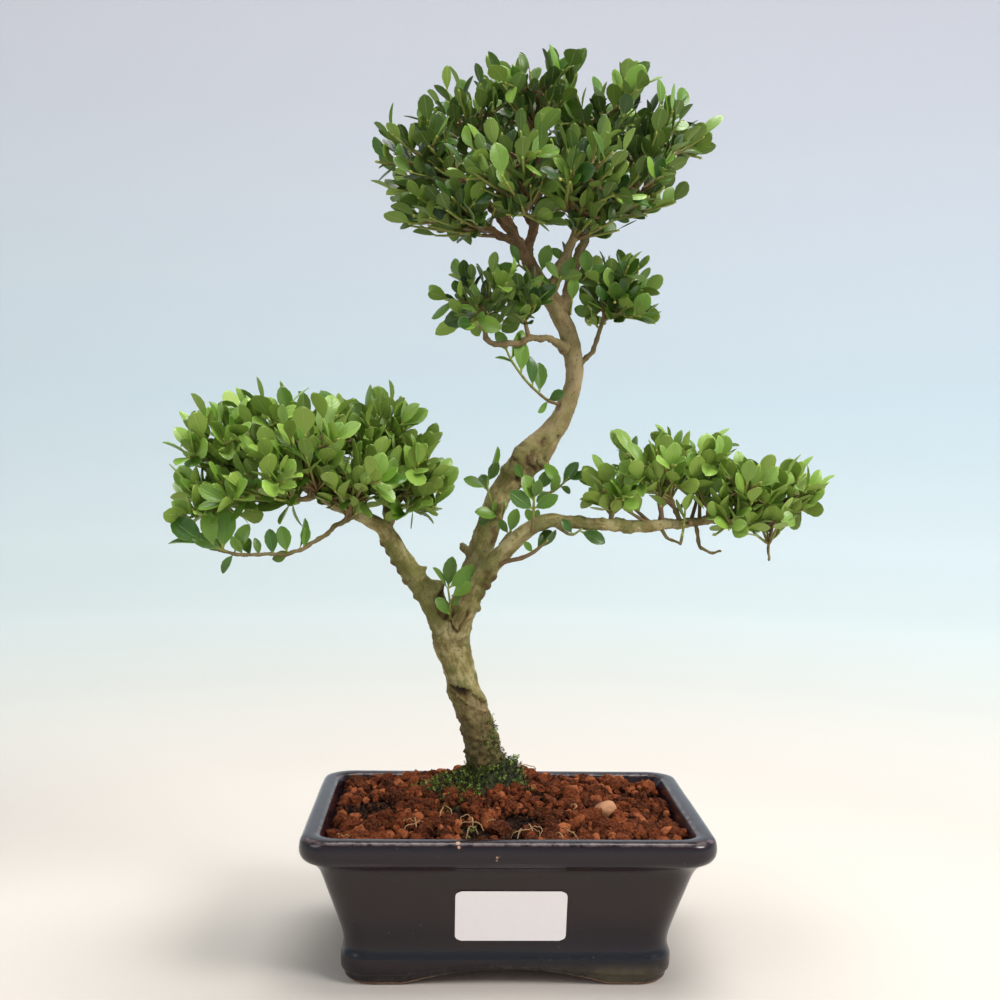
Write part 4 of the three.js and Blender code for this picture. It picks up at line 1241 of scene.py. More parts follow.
# The small shoot's twig is drawn with its leaves, and the stub is cut shorter here.
SHOOT_TWIG = [(28, 9, 284, 1.8), (20, 2, 287, 1.5), (14, -4, 292, 1.3), (6, -9, 300, 1.2)]
STUB = [(-18, 18, 205, 2.4), (-24, 15, 210, 1.9), (-28, 13, 215, 1.3)]
SHORT_STUB = [(-18, 18, 205, 2.6), (-22.5, 15.7, 208.5, 2.1), (-24.5, 14.7, 211, 1.8)]
SIDE_LIMBS = [
    [(-64, 1, 216, 3.2), (-63, 4, 227, 2.8), (-65, 8, 240, 2.3), (-72, 8, 272, 1.2)],
    [(-65, 6, 236, 1.8), (-58, -2, 243, 1.5), (-51, -7, 251, 1)],
    [(-92, -14, 235, 2), (-100, -4, 248, 1.7), (-103, 20, 264, 1.1)],
    [(-98, -15, 238, 1.9), (-108, -24, 236, 1.7), (-123, -34, 243, 1.1)],
    [(-78, -8, 227, 2), (-87, -19, 223, 1.7), (-94, -27, 216, 1.5), (-104, -32, 211, 1.4),
     (-117, -36, 208, 1.2), (-131, -38, 208.5, 1.1), (-143, -38, 210.5, 1)],
    [(31, 7, 316, 2.6), (24, 0, 318, 1.95), (17, -6, 319, 1.8), (6, -12, 317.5, 1.7),
     (-4, -16, 315.5, 1.6), (-13, -18, 317, 1.5), (-17, -20, 335, 1.1)],
    [(34, 8, 305, 2.2), (41, 11, 313, 1.9), (47, 12, 323, 1.6), (53, 8, 345, 1.1)],
    SHOOT_TWIG,
    STUB,
    [(77, -14, 223, 1.5), (82, -16, 217, 1.1), (87, -18, 215, 0.8)],
    [(96, -12, 226, 1.5), (99, -17, 213, 1.1), (107, -22, 212, 0.8)],
    [(133, -8, 229, 1.4), (136, -10, 220, 1.1), (134, -13, 207, 0.8)],
    [(88, -13, 226, 1.7), (82, -14, 240, 1.4), (75, -14, 252, 1)],
    [(103, -11, 228, 1.7), (104, -4, 240, 1.4), (102, 4, 251, 1)],
    [(116, -9, 229, 1.5), (119, -13, 237, 1.2), (120, -16, 243, 0.9)],
]
ROOTS = [
    [(-6, 28, 64, 6.5), (-24, 22, 52, 4.2), (-44, 8, 38, 2.6), (-56, -8, 28, 1.5)],
    [(-4, 26, 64, 6), (-2, 8, 50, 3.8), (4, -12, 36, 2.4), (16, -24, 26, 1.4)],
    [(-2, 28, 64, 6.3), (18, 24, 52, 4), (38, 12, 38, 2.5), (54, -4, 28, 1.5)],
    [(-6, 30, 66, 5.5), (-14, 40, 52, 3.4), (-30, 40, 36, 2), (-44, 34, 26, 1.3)],
]
ALL_LIMBS = [TRUNK, UPPER_TRUNK, LEFT_LIMB, RIGHT_LIMB, *CROWN_LIMBS, *SIDE_LIMBS, *ROOTS]

# Marks on the bark: place, reach and rise in millimetres, and how dark. A rise below 0 is a
# hollow. The darkness is partly the bark's own scars and partly painted shade in hollows, beside
# knobs and where leaves hang over the bark.
BARK_MARKS = [
    ((-37.5, 11, 188), 3.6, 5.0, 0.1), ((-36.2, 12.5, 186.5), 2.4, 0.0, 1.0),
    ((-36, 11, 182.5), 2.0, 0.0, 0.9), ((-37, 13, 190), 1.8, 0.0, 0.8),
    ((-45, 8.4, 198.5), 1.7, 2.8, 0.15), ((-34.5, 12, 175), 3.2, -1.6, 0.5),
    ((-32.5, 12.5, 172.5), 2.2, -1.2, 0.8), ((-53.5, 9, 192), 2.2, 1.8, 0.5),
    ((-57, 7, 197), 1.8, 1.2, 0.6), ((-60, 5, 202), 2.2, 1.8, 0.5), ((-63, 4, 207), 1.8, 1.0, 0.7),
    ((-66, 2, 212), 2.2, 1.6, 0.6), ((-50, 7, 189), 1.6, 1.2, 0.3), ((-48, 14, 183), 1.6, 1.4, 0.2),
    ((-45.5, 17, 172.5), 1.5, 1.2, 0.2), ((-42, 19, 165), 1.4, 1.1, 0.2),
    ((-36.9, 9.1, 178.9), 1.2, 0.6, 0.15), ((-35.8, 11.6, 167.9), 0.6, -0.4, 0.5),
    ((-28.7, 11.4, 160), 0.8, 0.4, 0.55), ((-34.6, 12.6, 160.9), 0.6, -0.4, 0.6),
    ((-24.4, 13.4, 156.6), 1.0, 0.6, 0.45), ((-34.5, 15.5, 151.3), 0.8, 0.4, 0.5),
    ((-25.9, 14.2, 148.9), 0.7, 0.4, 0.4), ((-28, 16, 145), 1.2, 0.5, 0.1),
    ((-17, 20, 141), 1.8, 1.3, 0.1), ((-19, 21, 147), 1.6, 1.0, 0.1),
    ((-15.5, 8.5, 178), 2.0, 2.2, 0.3), ((-8, -1, 195.5), 2.4, 1.7, 0.55),
    ((-10.5, 1.5, 190.5), 2.3, 1.9, 0.6), ((-12, -1.5, 192), 1.6, 0.5, 0.65),
    ((-13.5, 4, 185.5), 2.2, 1.3, 0.6), ((-10.5, -4, 198), 1.5, 0.5, 0.6),
    ((-9.6, -5, 203), 3.0, 1.5, 0.0), ((-2, 10.5, 251), 2.0, 1.8, 0.35),
    ((5, 9, 259), 4.2, 1.6, 0.0), ((0.5, 8.5, 258.5), 1.4, -0.4, 0.8),
    ((25.8, 5.2, 269.5), 1.3, -0.7, 0.7), ((19, 10, 254), 2.0, 1.9, 0.2),
    ((23, 4.5, 279), 1.2, 0.7, 0.15), ((31, 8, 283.6), 0.6, -0.3, 0.6),
    ((31.6, 4, 299.2), 0.8, -0.4, 0.35), ((27.5, 4, 315.2), 3.0, 3.0, 0.15),
    ((25.5, 2.5, 315), 1.3, -1.0, 0.7), ((4.9, 7.5, 247), 1.9, -1.3, 0.9),
    ((7.7, 9, 244.5), 1.3, -0.6, 0.6), ((-9, 12, 222), 3.0, 0.8, 0.25),
    ((-8, 10, 234), 2.6, 1.0, 0.3), ((-2, 9, 240), 1.2, 0.5, 0.3),
    ((18, -13.5, 222.5), 2.6, 0.6, 0.2), ((4, -11, 218), 0.8, -0.4, 0.5),
    ((26, -15, 221.8), 1.8, 1.6, 0.4), ((60, -16, 221.5), 2.2, 1.6, 0.3),
    ((55.6, -15, 227.5), 2.2, 1.2, 0.2), ((67, -16, 227), 1.8, 0.9, 0.2),
    ((44, -16, 221.8), 1.4, 0.9, 0.2), ((35, -15, 228), 1.4, 0.7, 0.1),
    ((-16.9, 16.9, 114.5), 1.4, 1.3, 0.2), ((-13.6, 17.2, 106.4), 1.5, 1.6, 0.3),
    ((-9.8, 17.4, 106.3), 1.3, 1.5, 0.3), ((-15.7, 17.8, 103), 1.3, 1.3, 0.4),
    ((-4, 25, 106), 2.4, 2.2, 0.2), ((-3.6, 23.8, 101), 2.0, 1.0, 0.9),
    ((-19.6, 17.4, 118.7), 1.4, 1.3, 0.1), ((-8.7, 20.7, 111.6), 1.5, 1.5, 0.2),
    ((-18.4, 17.5, 108.4), 1.2, 1.1, 0.3), ((-12, 15, 94), 3.0, 1.6, 0.4),
    ((-2, 17, 92), 3.2, 2.2, 0.3), ((-17, 19, 97), 1.8, 1.5, 0.3), ((24, 3, 333), 2.4, 1.1, 0.2),
    ((18, -1, 345), 2.8, 1.6, 0.3), ((30, 4, 290), 1.6, 0.5, 0.2),
    ((10.6, 6, 251), 2.0, -0.3, 0.55), ((9, 6, 265), 1.6, 1.0, 0.0), ((6, 7, 261.5), 1.6, 0.6, 0.3),
    ((3, 9, 257.5), 1.5, 0.0, 0.55), ((14, 5, 252), 3.0, 0.0, 0.42),
    ((-27, 15, 134), 1.2, 0.3, 0.0), ((-24.5, 14.5, 133.8), 1.2, 0.4, 0.0),
    ((-22.2, 14, 133), 1.1, 0.3, 0.0), ((-23, 14, 127.4), 1.4, 0.4, 0.0),
    ((-18.2, 17, 115.5), 1.1, 1.1, 0.3), ((-13.5, 17, 113.1), 1.0, 1.0, 0.3),
    ((-15.7, 17, 106.1), 1.2, 1.4, 0.4), ((-12.3, 17, 106.1), 1.0, 1.1, 0.35),
    ((-11.8, 17, 99.8), 1.1, 1.1, 0.3), ((-8.7, 17, 104.6), 1.2, 1.3, 0.35),
    ((-6.4, 17.5, 103.3), 1.0, 1.1, 0.4), ((-14.3, 17, 116.7), 0.9, 0.9, 0.3),
    ((-10.4, 17, 110), 1.1, 1.1, 0.3), ((-19, 17, 118.3), 1.0, 0.8, 0.3),
    ((-13.2, 17, 92.8), 1.2, 1.3, 0.4), ((-17.2, 17, 96.7), 1.1, 1.0, 0.35),
    ((-20.5, 17, 111.5), 1.0, 0.9, 0.3), ((-12.8, 17, 119.6), 0.9, 0.8, 0.3),
]
# Cracks and creases: the points a line runs through, then its reach, rise and darkness as above.
# Their darkness is partly painted shade down in the creases.
BARK_LINES = [
    ([(-20.5, 6, 177), (-24, 9, 169), (-26.2, 11, 165)], 0.75, -0.8, 0.78),
    ([(1, 8.5, 258), (4, 7, 257), (5.5, 6.5, 253.5)], 1.0, -0.6, 0.75),
    ([(19, 5, 268), (20.5, 6, 264), (18, 6, 259.5), (19, 7, 256)], 0.8, -0.6, 0.6),
    ([(-35, 11, 178), (-31, 12, 176), (-30, 12, 173)], 1.5, -0.7, 0.7),
    ([(-30, 11.2, 171), (-28.3, 10.8, 168.2), (-26.2, 11, 165)], 0.95, -0.6, 0.9),
    ([(-29.5, 13, 173), (-25, 10, 178), (-21, 11, 185)], 1.3, -0.8, 0.7),
    ([(17.8, 5, 268), (16.8, 5, 263.5)], 1.4, -0.9, 0.62),
    ([(12.4, 5, 261), (11.2, 5.5, 255.5)], 1.9, -0.4, 0.6),
    ([(9.5, 5.5, 259), (10, 5.5, 255), (13, 5.5, 252.5), (15.5, 6, 250.5)], 1.1, -0.9, 0.8),
    ([(15, 5, 259), (14.5, 5.4, 255), (17, 7, 253)], 0.9, -0.7, 0.7),
    ([(0, 8.5, 256), (2.5, 7.5, 259), (3.5, 8, 263), (6.5, 8, 266.5)], 0.9, -0.5, 0.8),
    ([(7, 6.5, 252), (8.5, 6, 256), (7, 6, 261)], 0.8, -0.5, 0.5),
    ([(-7, 12.5, 212), (-6, 12, 217), (-8, 12, 221)], 2.0, -0.4, 0.55),
    ([(-13.5, -1.5, 191), (-11, -4, 196.5), (-8.5, -7, 201)], 0.9, -0.5, 0.45)]
LINE_SPACING = 0.6
for bends, *nature in BARK_LINES:
    for start, stop in zip(bends, bends[1:]):
        pieces = ceil((Vector(stop) - Vector(start)).length / (LINE_SPACING * nature[0]))
        for piece in range(pieces):
            spot = Vector(start).lerp(Vector(stop), piece / pieces)
            BARK_MARKS.append((tuple(spot), *nature))
MARK_DEPTH = 0.4


def flattened(point):
    """Marks are placed as seen from the front, so their distance in depth counts for less."""
    return Vector((point[0], point[1] * MARK_DEPTH, point[2]))


MARK_TREE = kdtree.KDTree(len(BARK_MARKS))
for mark_number, bark_mark in enumerate(BARK_MARKS):
    MARK_TREE.insert(flattened(bark_mark[0]), mark_number)
MARK_TREE.balance()
MARK_REACH = 9
BARK_VOXEL = 0.85
TUBE_SIDES = 20
# Limbs that start thinner than this aren't blended into the others, and are drawn slimmer.
THIN_LIMB = 2.25
THIN_SLIM = 0.7
THIN_SIDES = 10
STATION_STEP = 1.6
# The peeled strip lies between two ragged edges: rows of x and height.
PEEL_LOW = 100
PEEL_HIGH = 150
PEEL_LEFT = -17.5
PEEL_TOP = [(-29, 135.2), (-22.5, 134.4), (-18.6, 132.6), (-13.3, 127.6), (-10, 125.6)]
PEEL_FOOT = [(-29, 132.5), (-21.4, 126.2), (-16, 123.2), (-10.5, 120.5)]


def along_stations(stations):
    """The stations of a limb joined by a slightly crooked curve, as rows [x, y, z, radius]."""
    length = sum((Vector(b[:3]) - Vector(a[:3])).length for a, b in zip(stations, stations[1:]))
    rows = smooth_path(stations, max(2, ceil(length / STATION_STEP / (len(stations) - 1))))
    for i, row in enumerate(rows):
        swing = sqrt(sin(pi * i / (len(rows) - 1) * 0.999 + 0.001))
        bend = noise.noise_vector(Vector(row[:3]) * 0.13) * swing
        row[:3] += np.array(bend) * max(0.0, min(2.6, 3.4 - 0.8 * row[3]))
    return rows


def root_flare(radius, angle, z):
    """How much wider a limb is at an angle: furrows in thick ones, and ribs at the foot."""
    foot = held((94 - z) / 20) if radius > 7 else 0.0
    furrow = 0.05 * sin(3 * angle + 0.19 * z) + 0.035 * sin(5 * angle - 0.31 * z)
    return 1 + (furrow if radius > 2.5 else 0) + 0.3 * foot * (0.5 + 0.5 * cos(4 * angle + 0.6))


def limb_tube(stations, sides, slim=1.0):
    rows = along_stations(stations)
    across = Vector((0, -1, 0))
    rings = []
    for i, (x, y, z, radius) in enumerate(rows):
        before, after = rows[max(i - 1, 0)], rows[min(i + 1, len(rows) - 1)]
        along = Vector(after[:3] - before[:3]).normalized()
        across = (across - along * across.dot(along)).normalized()
        beside = along.cross(across)
        ring = []
        for side in range(sides):
            angle = side / sides * 2 * pi
            reach = slim * radius * root_flare(radius, angle, z)
            out = across * (reach * cos(angle))
            ring.append(Vector((x, y, z)) + out + beside * (reach * sin(angle)))
        rings.append(ring)
    first, last = Vector(rows[0][:3]), Vector(rows[-1][:3])
    end = last + (last - Vector(rows[-2][:3])).normalized() * rows[-1][3] * 0.8
    return skin(rings, first, end)


def tubes_object(name, limbs, sides, slim=1.0):
    points, faces = [], []
    for stations in limbs:
        tube_points, tube_faces = limb_tube(stations, sides, slim)
        faces += [tuple(corner + len(points) for corner in face) for face in tube_faces]
        points += tube_points
    return new_mesh(name, points, faces)


def limb_samples():
    """Points along every limb, with the limb's direction, its girth and the way gone along it."""
    samples = []
    for number, stations in enumerate(ALL_LIMBS):
        rows = along_stations(stations)
        across = Vector((0, -1, 0))
        gone = 40.0 * number
        for i in range(len(rows)):
            before, after = rows[max(i - 1, 0)], rows[min(i + 1, len(rows) - 1)]
            along = Vector(after[:3] - before[:3]).normalized()
            across = (across - along * across.dot(along)).normalized()
            if i:
                gone += (Vector(rows[i][:3]) - Vector(rows[i - 1][:3])).length
            samples.append((Vector(rows[i][:3]), along, across.copy(), float(rows[i][3]), gone))
    return samples


LIMB_SAMPLES = limb_samples()
LIMB_TREE = kdtree.KDTree(len(LIMB_SAMPLES))
for sample_number, limb_sample in enumerate(LIMB_SAMPLES):
    LIMB_TREE.insert(limb_sample[0], sample_number)
LIMB_TREE.balance()


def limb_frame(point):
    """Where a point lies as seen from the limb it is on: across, beside and along, and the girth."""
    best = min(LIMB_TREE.find_n(point, 6), key=lambda found: found[2] - LIMB_SAMPLES[found[1]][3])
    centre, along, across, girth, gone = LIMB_SAMPLES[best[1]]
    offset = point - centre
    beside = along.cross(across)
    return Vector((offset.dot(across), offset.dot(beside), gone + offset.dot(along))), girth


def peel_line(rows, x, seed):
    height = float(np.interp(x, [row[0] for row in rows], [row[1] for row in rows]))
    return height + 0.9 * noise.noise(Vector((x * 0.5, seed, 1)))


def peel_step(point, own):
    """Where a strip of bark has peeled off the trunk's front: how deep it is, and how dark. The dark
    is partly painted shade in the recess under its upper edge. Below 0 it isn't dark but bare pale wood."""
    if point.z > PEEL_HIGH or point.z < PEEL_LOW or own.x < -2:
        return 0.0, 0.0
    below_top = peel_line(PEEL_TOP, point.x, 4) - point.z
    below_foot = peel_line(PEEL_FOOT, point.x, 7) - point.z
    facing = held((own.x - 0.5) / 4)
    left = held((PEEL_LEFT - point.x) / 4)
    if below_top < 0:
        return 0.6 * exp(below_top / 3.0) * facing, 0.0
    if below_foot < 0:
        part = below_top / (below_top - below_foot)
        tone = max(0.95 * exp(-below_top / 1.1), left * 1.1 * (1 - part * part))
        tone = tone if tone > 0.3 else -min(1.0, 3 * part * (1 - left))
        return -1.5 * (1 - part) ** 0.7 * facing, facing * tone
    return 0.5 * exp(-below_foot / 2.5) * facing, 1.1 * exp(-below_foot / 0.9) * facing


def marks_at(point):
    """What the marks near a point of the bark do to it: rise, darkness (partly painted shade) and green.
    """
    high, deep, dark, green = 0.0, 0.0, 0.0, 0.0
    point = point + noise.noise_vector(point * 0.3) * 0.9 + noise.noise_vector(point * 0.9) * 0.5
    for _, number, far in MARK_TREE.find_range(flattened(point), MARK_REACH):
        _, reach, height, tone = BARK_MARKS[number]
        near = exp(-(far / reach) ** 2)
        high += max(0.0, height) * near
        deep = min(deep, height * near)
        dark = max(dark, tone * min(1.0, 1.3 * near))
        green = max(green, exp(-(far / (1.9 * reach)) ** 2))
    return high + deep, dark, green


def bark_height(point, own, girth):
    """The bark's own relief: plates, swellings, pores, and rings or joints on the thin limbs."""
    size = min(1.0, girth / 8)
    low = held((132 - point.z) / 14) if girth > 6 else 0.0
    stretched = Vector((own.x * 0.9, own.y * 0.9, own.z * 0.2))
    height = 0.3 * size * noise.fractal(stretched, 0.9, 2.1, 3)
    height += 1.0 * size * noise.noise(own * 0.14)
    height += 0.2 * noise.fractal(own * 0.7, 1.0, 2.0, 2) * (0.4 + size)
    rings = noise.noise(Vector((own.x * 0.16, own.y * 0.16, own.z * 0.5)))
    height += low * (0.35 * rings + 1.0 * noise.fractal(own * 0.33, 0.9, 2.1, 3))
    pore = noise.voronoi(Vector((own.x * 0.24, own.y * 0.24, own.z * 0.3)))[0][0]
    height += (0.3 + 0.4 * low) * exp(-(pore / 0.22) ** 2) * (0.35 + size)
    if girth < 3.4:
        joint = abs((own.z / 5.5 + 0.4 * noise.noise(own * 0.09)) % 1 - 0.5) * 5.5
        height += 0.2 * min(girth, 1.8) * exp(-joint * joint) + 0.17 * girth * noise.noise(own * 0.5)
    return min(height, girth * 0.4)


def make_wood():
    limbs = [SHORT_STUB if limb is STUB else limb for limb in ALL_LIMBS if limb is not SHOOT_TWIG]
    thick = [limb for limb in limbs if limb[0][3] > THIN_LIMB]
    thin = [limb for limb in limbs if limb[0][3] <= THIN_LIMB]
    wood = tubes_object("bark_and_wood", thick, TUBE_SIDES)
    remesh = wood.modifiers.new("blend", "REMESH")
    remesh.mode = "VOXEL"
    remesh.voxel_size = BARK_VOXEL
    remesh.use_smooth_shade = True
    smooth = wood.modifiers.new("soften", "SMOOTH")
    smooth.factor = 0.5
    smooth.iterations = 3
    bpy.context.view_layer.update()
    graph = bpy.context.evaluated_depsgraph_get()
    blended = bpy.data.meshes.new_from_object(wood.evaluated_get(graph))
    wood.modifiers.clear()
    wood.data = blended
    twigs = tubes_object("thin_limbs", thin, THIN_SIDES, THIN_SLIM)
    form = bmesh.new()
    form.from_mesh(wood.data)
    form.from_mesh(twigs.data)
    bpy.data.objects.remove(twigs)
    form.normal_update()
    own_places, girths, darks_and_shade, greens, moved = [], [], [], [], []
    for corner in form.verts:
        own, girth = limb_frame(corner.co)
        step, peel_dark_and_shade = peel_step(corner.co, own)
        rise, dark, green = marks_at(corner.co)
        moved.append(corner.co + corner.normal * (bark_height(corner.co, own, girth) + step + rise))
        own_places += [own.x, own.y, own.z]
        girths.append(girth)
        # Darkness from the marks and the peeled strip, partly painted shade; below 0 it marks bare wood.
        darks_and_shade.append(peel_dark_and_shade if peel_dark_and_shade < 0 and dark < 0.3 else max(peel_dark_and_shade, dark))
        greens.append(green)
    for corner, place in zip(form.verts, moved):
        corner.co = placed(place)
    form.to_mesh(wood.data)
    form.free()
    mesh = wood.data
    mesh.name = "bark_and_wood"
    store(mesh, "limb_place", own_places, "FLOAT_VECTOR")
    store(mesh, "girth", girths)
    store(mesh, "dark", darks_and_shade)
    store(mesh, "green", greens)
    shade(mesh)
    mesh.materials.clear()
    mesh.materials.append(bark_finish())
    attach(wood, "root")
    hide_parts("trunk_and_branches")


def bark_finish():
    bark = Finish("bark")
    own = bark.mark("limb_place", "Vector")
    girth = bark.mark("girth")
    place = bark.place()
    height = bark.part(place, "Z") * 1000
    streak = bark.cloud(bark.stretched(own, (0.8, 0.8, 0.16)), 0.8, 3, 0.55)
    patch = bark.cloud(own, 0.1, 3, 0.6)
    fine = bark.cloud(own, 1.4, 4, 0.7)
    damp = bark.cloud(place, 52, 4, 0.68)
    colour = bark.mix(bark.step(streak, 0.38, 0.62), (136, 121, 72), (168, 153, 99))
    colour = bark.mix(bark.step(patch, 0.42, 0.6) * 0.7, colour, (190, 176, 130))
    colour = bark.mix(bark.step(1 - patch, 0.52, 0.68) * 0.6, colour, (98, 83, 46))
    colour = bark.mix(bark.step(height, 232, 285) * 0.55, colour, (160, 132, 100))
    green = bark.step(damp + fine * 0.22 + bark.mark("green") * 0.22, 0.56, 0.76)
    green = green * (0.75 - 0.4 * bark.step(height, 240, 300))
    colour = bark.mix(green, colour, bark.mix(fine, (74, 76, 30), (124, 126, 58)))
    russet = bark.mix(bark.step(streak, 0.4, 0.6), (70, 38, 24), (128, 78, 50))
    thin = 1 - bark.step(girth, 1.4, 3.4)
    colour = bark.mix(thin * 0.6, colour, bark.mix(streak, (68, 52, 30), (112, 92, 56)))
    high = bark.step(height, 335, 365) * (1 - bark.step(girth, 4.6, 6))
    high = high * (1 - bark.step(bark.part(place, "X"), 0.016, 0.034))
    colour = bark.mix(high * 0.65, colour, russet)
    low = (1 - bark.step(height, 112, 140)) * bark.step(girth, 4, 6)
    colour = bark.mix(low * 0.8, colour, bark.mix(streak, (60, 45, 25), (122, 100, 62)))
    pores = 1 - bark.step(bark.cells(bark.stretched(own, (0.3, 0.3, 0.34)), 1.0), 0.06, 0.19)
    colour = bark.mix(pores * bark.step(patch, 0.35, 0.55) * 0.85, colour, (62, 46, 24))
    grime = bark.step(1 - fine, 0.52, 0.76)
    colour = bark.mix(grime * 0.6, colour, (74, 58, 31))
    flake = bark.step(bark.cloud(own, 2.3, 3, 0.6), 0.58, 0.72)
    colour = bark.mix(flake * 0.45, colour, (196, 184, 142))
    mossy = (1 - bark.step(height, 84, 112)) * bark.step(damp, 0.4, 0.6)
    colour = bark.mix(mossy * 0.75, colour, (50, 56, 22))
    bare = bark.step(bark.mark("dark") * -1 + (fine - 0.5) * 0.6, 0.35, 0.9)
    colour = bark.mix(bare * 0.5, colour, bark.mix(streak, (128, 104, 74), (176, 154, 122)))
    # The marks' darkness: partly the bark's own scars and partly painted shade in hollows, creases,
    # beside knobs, under leaves and in the peeled recess.
    ragged = bark.mark("dark") * (0.5 + fine) + (fine - 0.5) * 0.5
    colour = bark.mix(bark.step(ragged, 0.2, 0.6) * 0.75, colour, (96, 64, 40))
    colour = bark.mix(bark.step(ragged, 0.5, 0.95) * 0.88, colour, (36, 27, 15))
    relief = streak * 0.3 + fine * 0.9 - pores * 0.4
    return bark.done(Base_Color=colour, Roughness=0.8, Specular_IOR_Level=0.3,
                     Normal=bark.relief(relief, 0.0009, 0.85))


make_wood()

# Moss on the bark: tufts that have crept from the collar up the foot of the trunk. They
# stand highest on its right.

SLEEVE_SIDES = 48


def sleeve_crowding(point):
    """How thick the tufts stand at a point of the trunk's foot."""
    own, girth = limb_frame(point)
    right = held(own.y / girth + 0.1)
    ragged = 5 * noise.noise(point * 0.3)
    low = held((94 + ragged - point.z) / 6)
    climbing = min(1.0, 1.6 * right) * min(0.9, max(0.0, (120 + ragged - point.z) / 16))
    return max(low, climbing) if point.z > 76 else 0.0


def make_moss_on_bark():
    points, faces = limb_tube(TRUNK, SLEEVE_SIDES)
    sheet = new_mesh("sleeve_land", [placed(point) for point in points], faces)
    store(sheet.data, "crowding", [sleeve_crowding(point) for point in points])
    grow_moss("moss_on_bark", sheet, 15, smallest=1.2, largest=3.4, lean=0.4, seed=6)


make_moss_on_bark()

# Foliage: each branch end carries a clump of yellow-green shoots. A shoot has leathery
# oval leaves in a spiral, small pale buds in their axils, and a fatter bud at its tip.

GOLDEN_ANGLE = pi * (3 - sqrt(5))
LEAF_LENGTH = 14.5
LEAF_CLEARANCE = 6
LEAVES_ON_SHOOT = 3
CORE_PART = 0.4
UP = Vector((0, 0, 1))

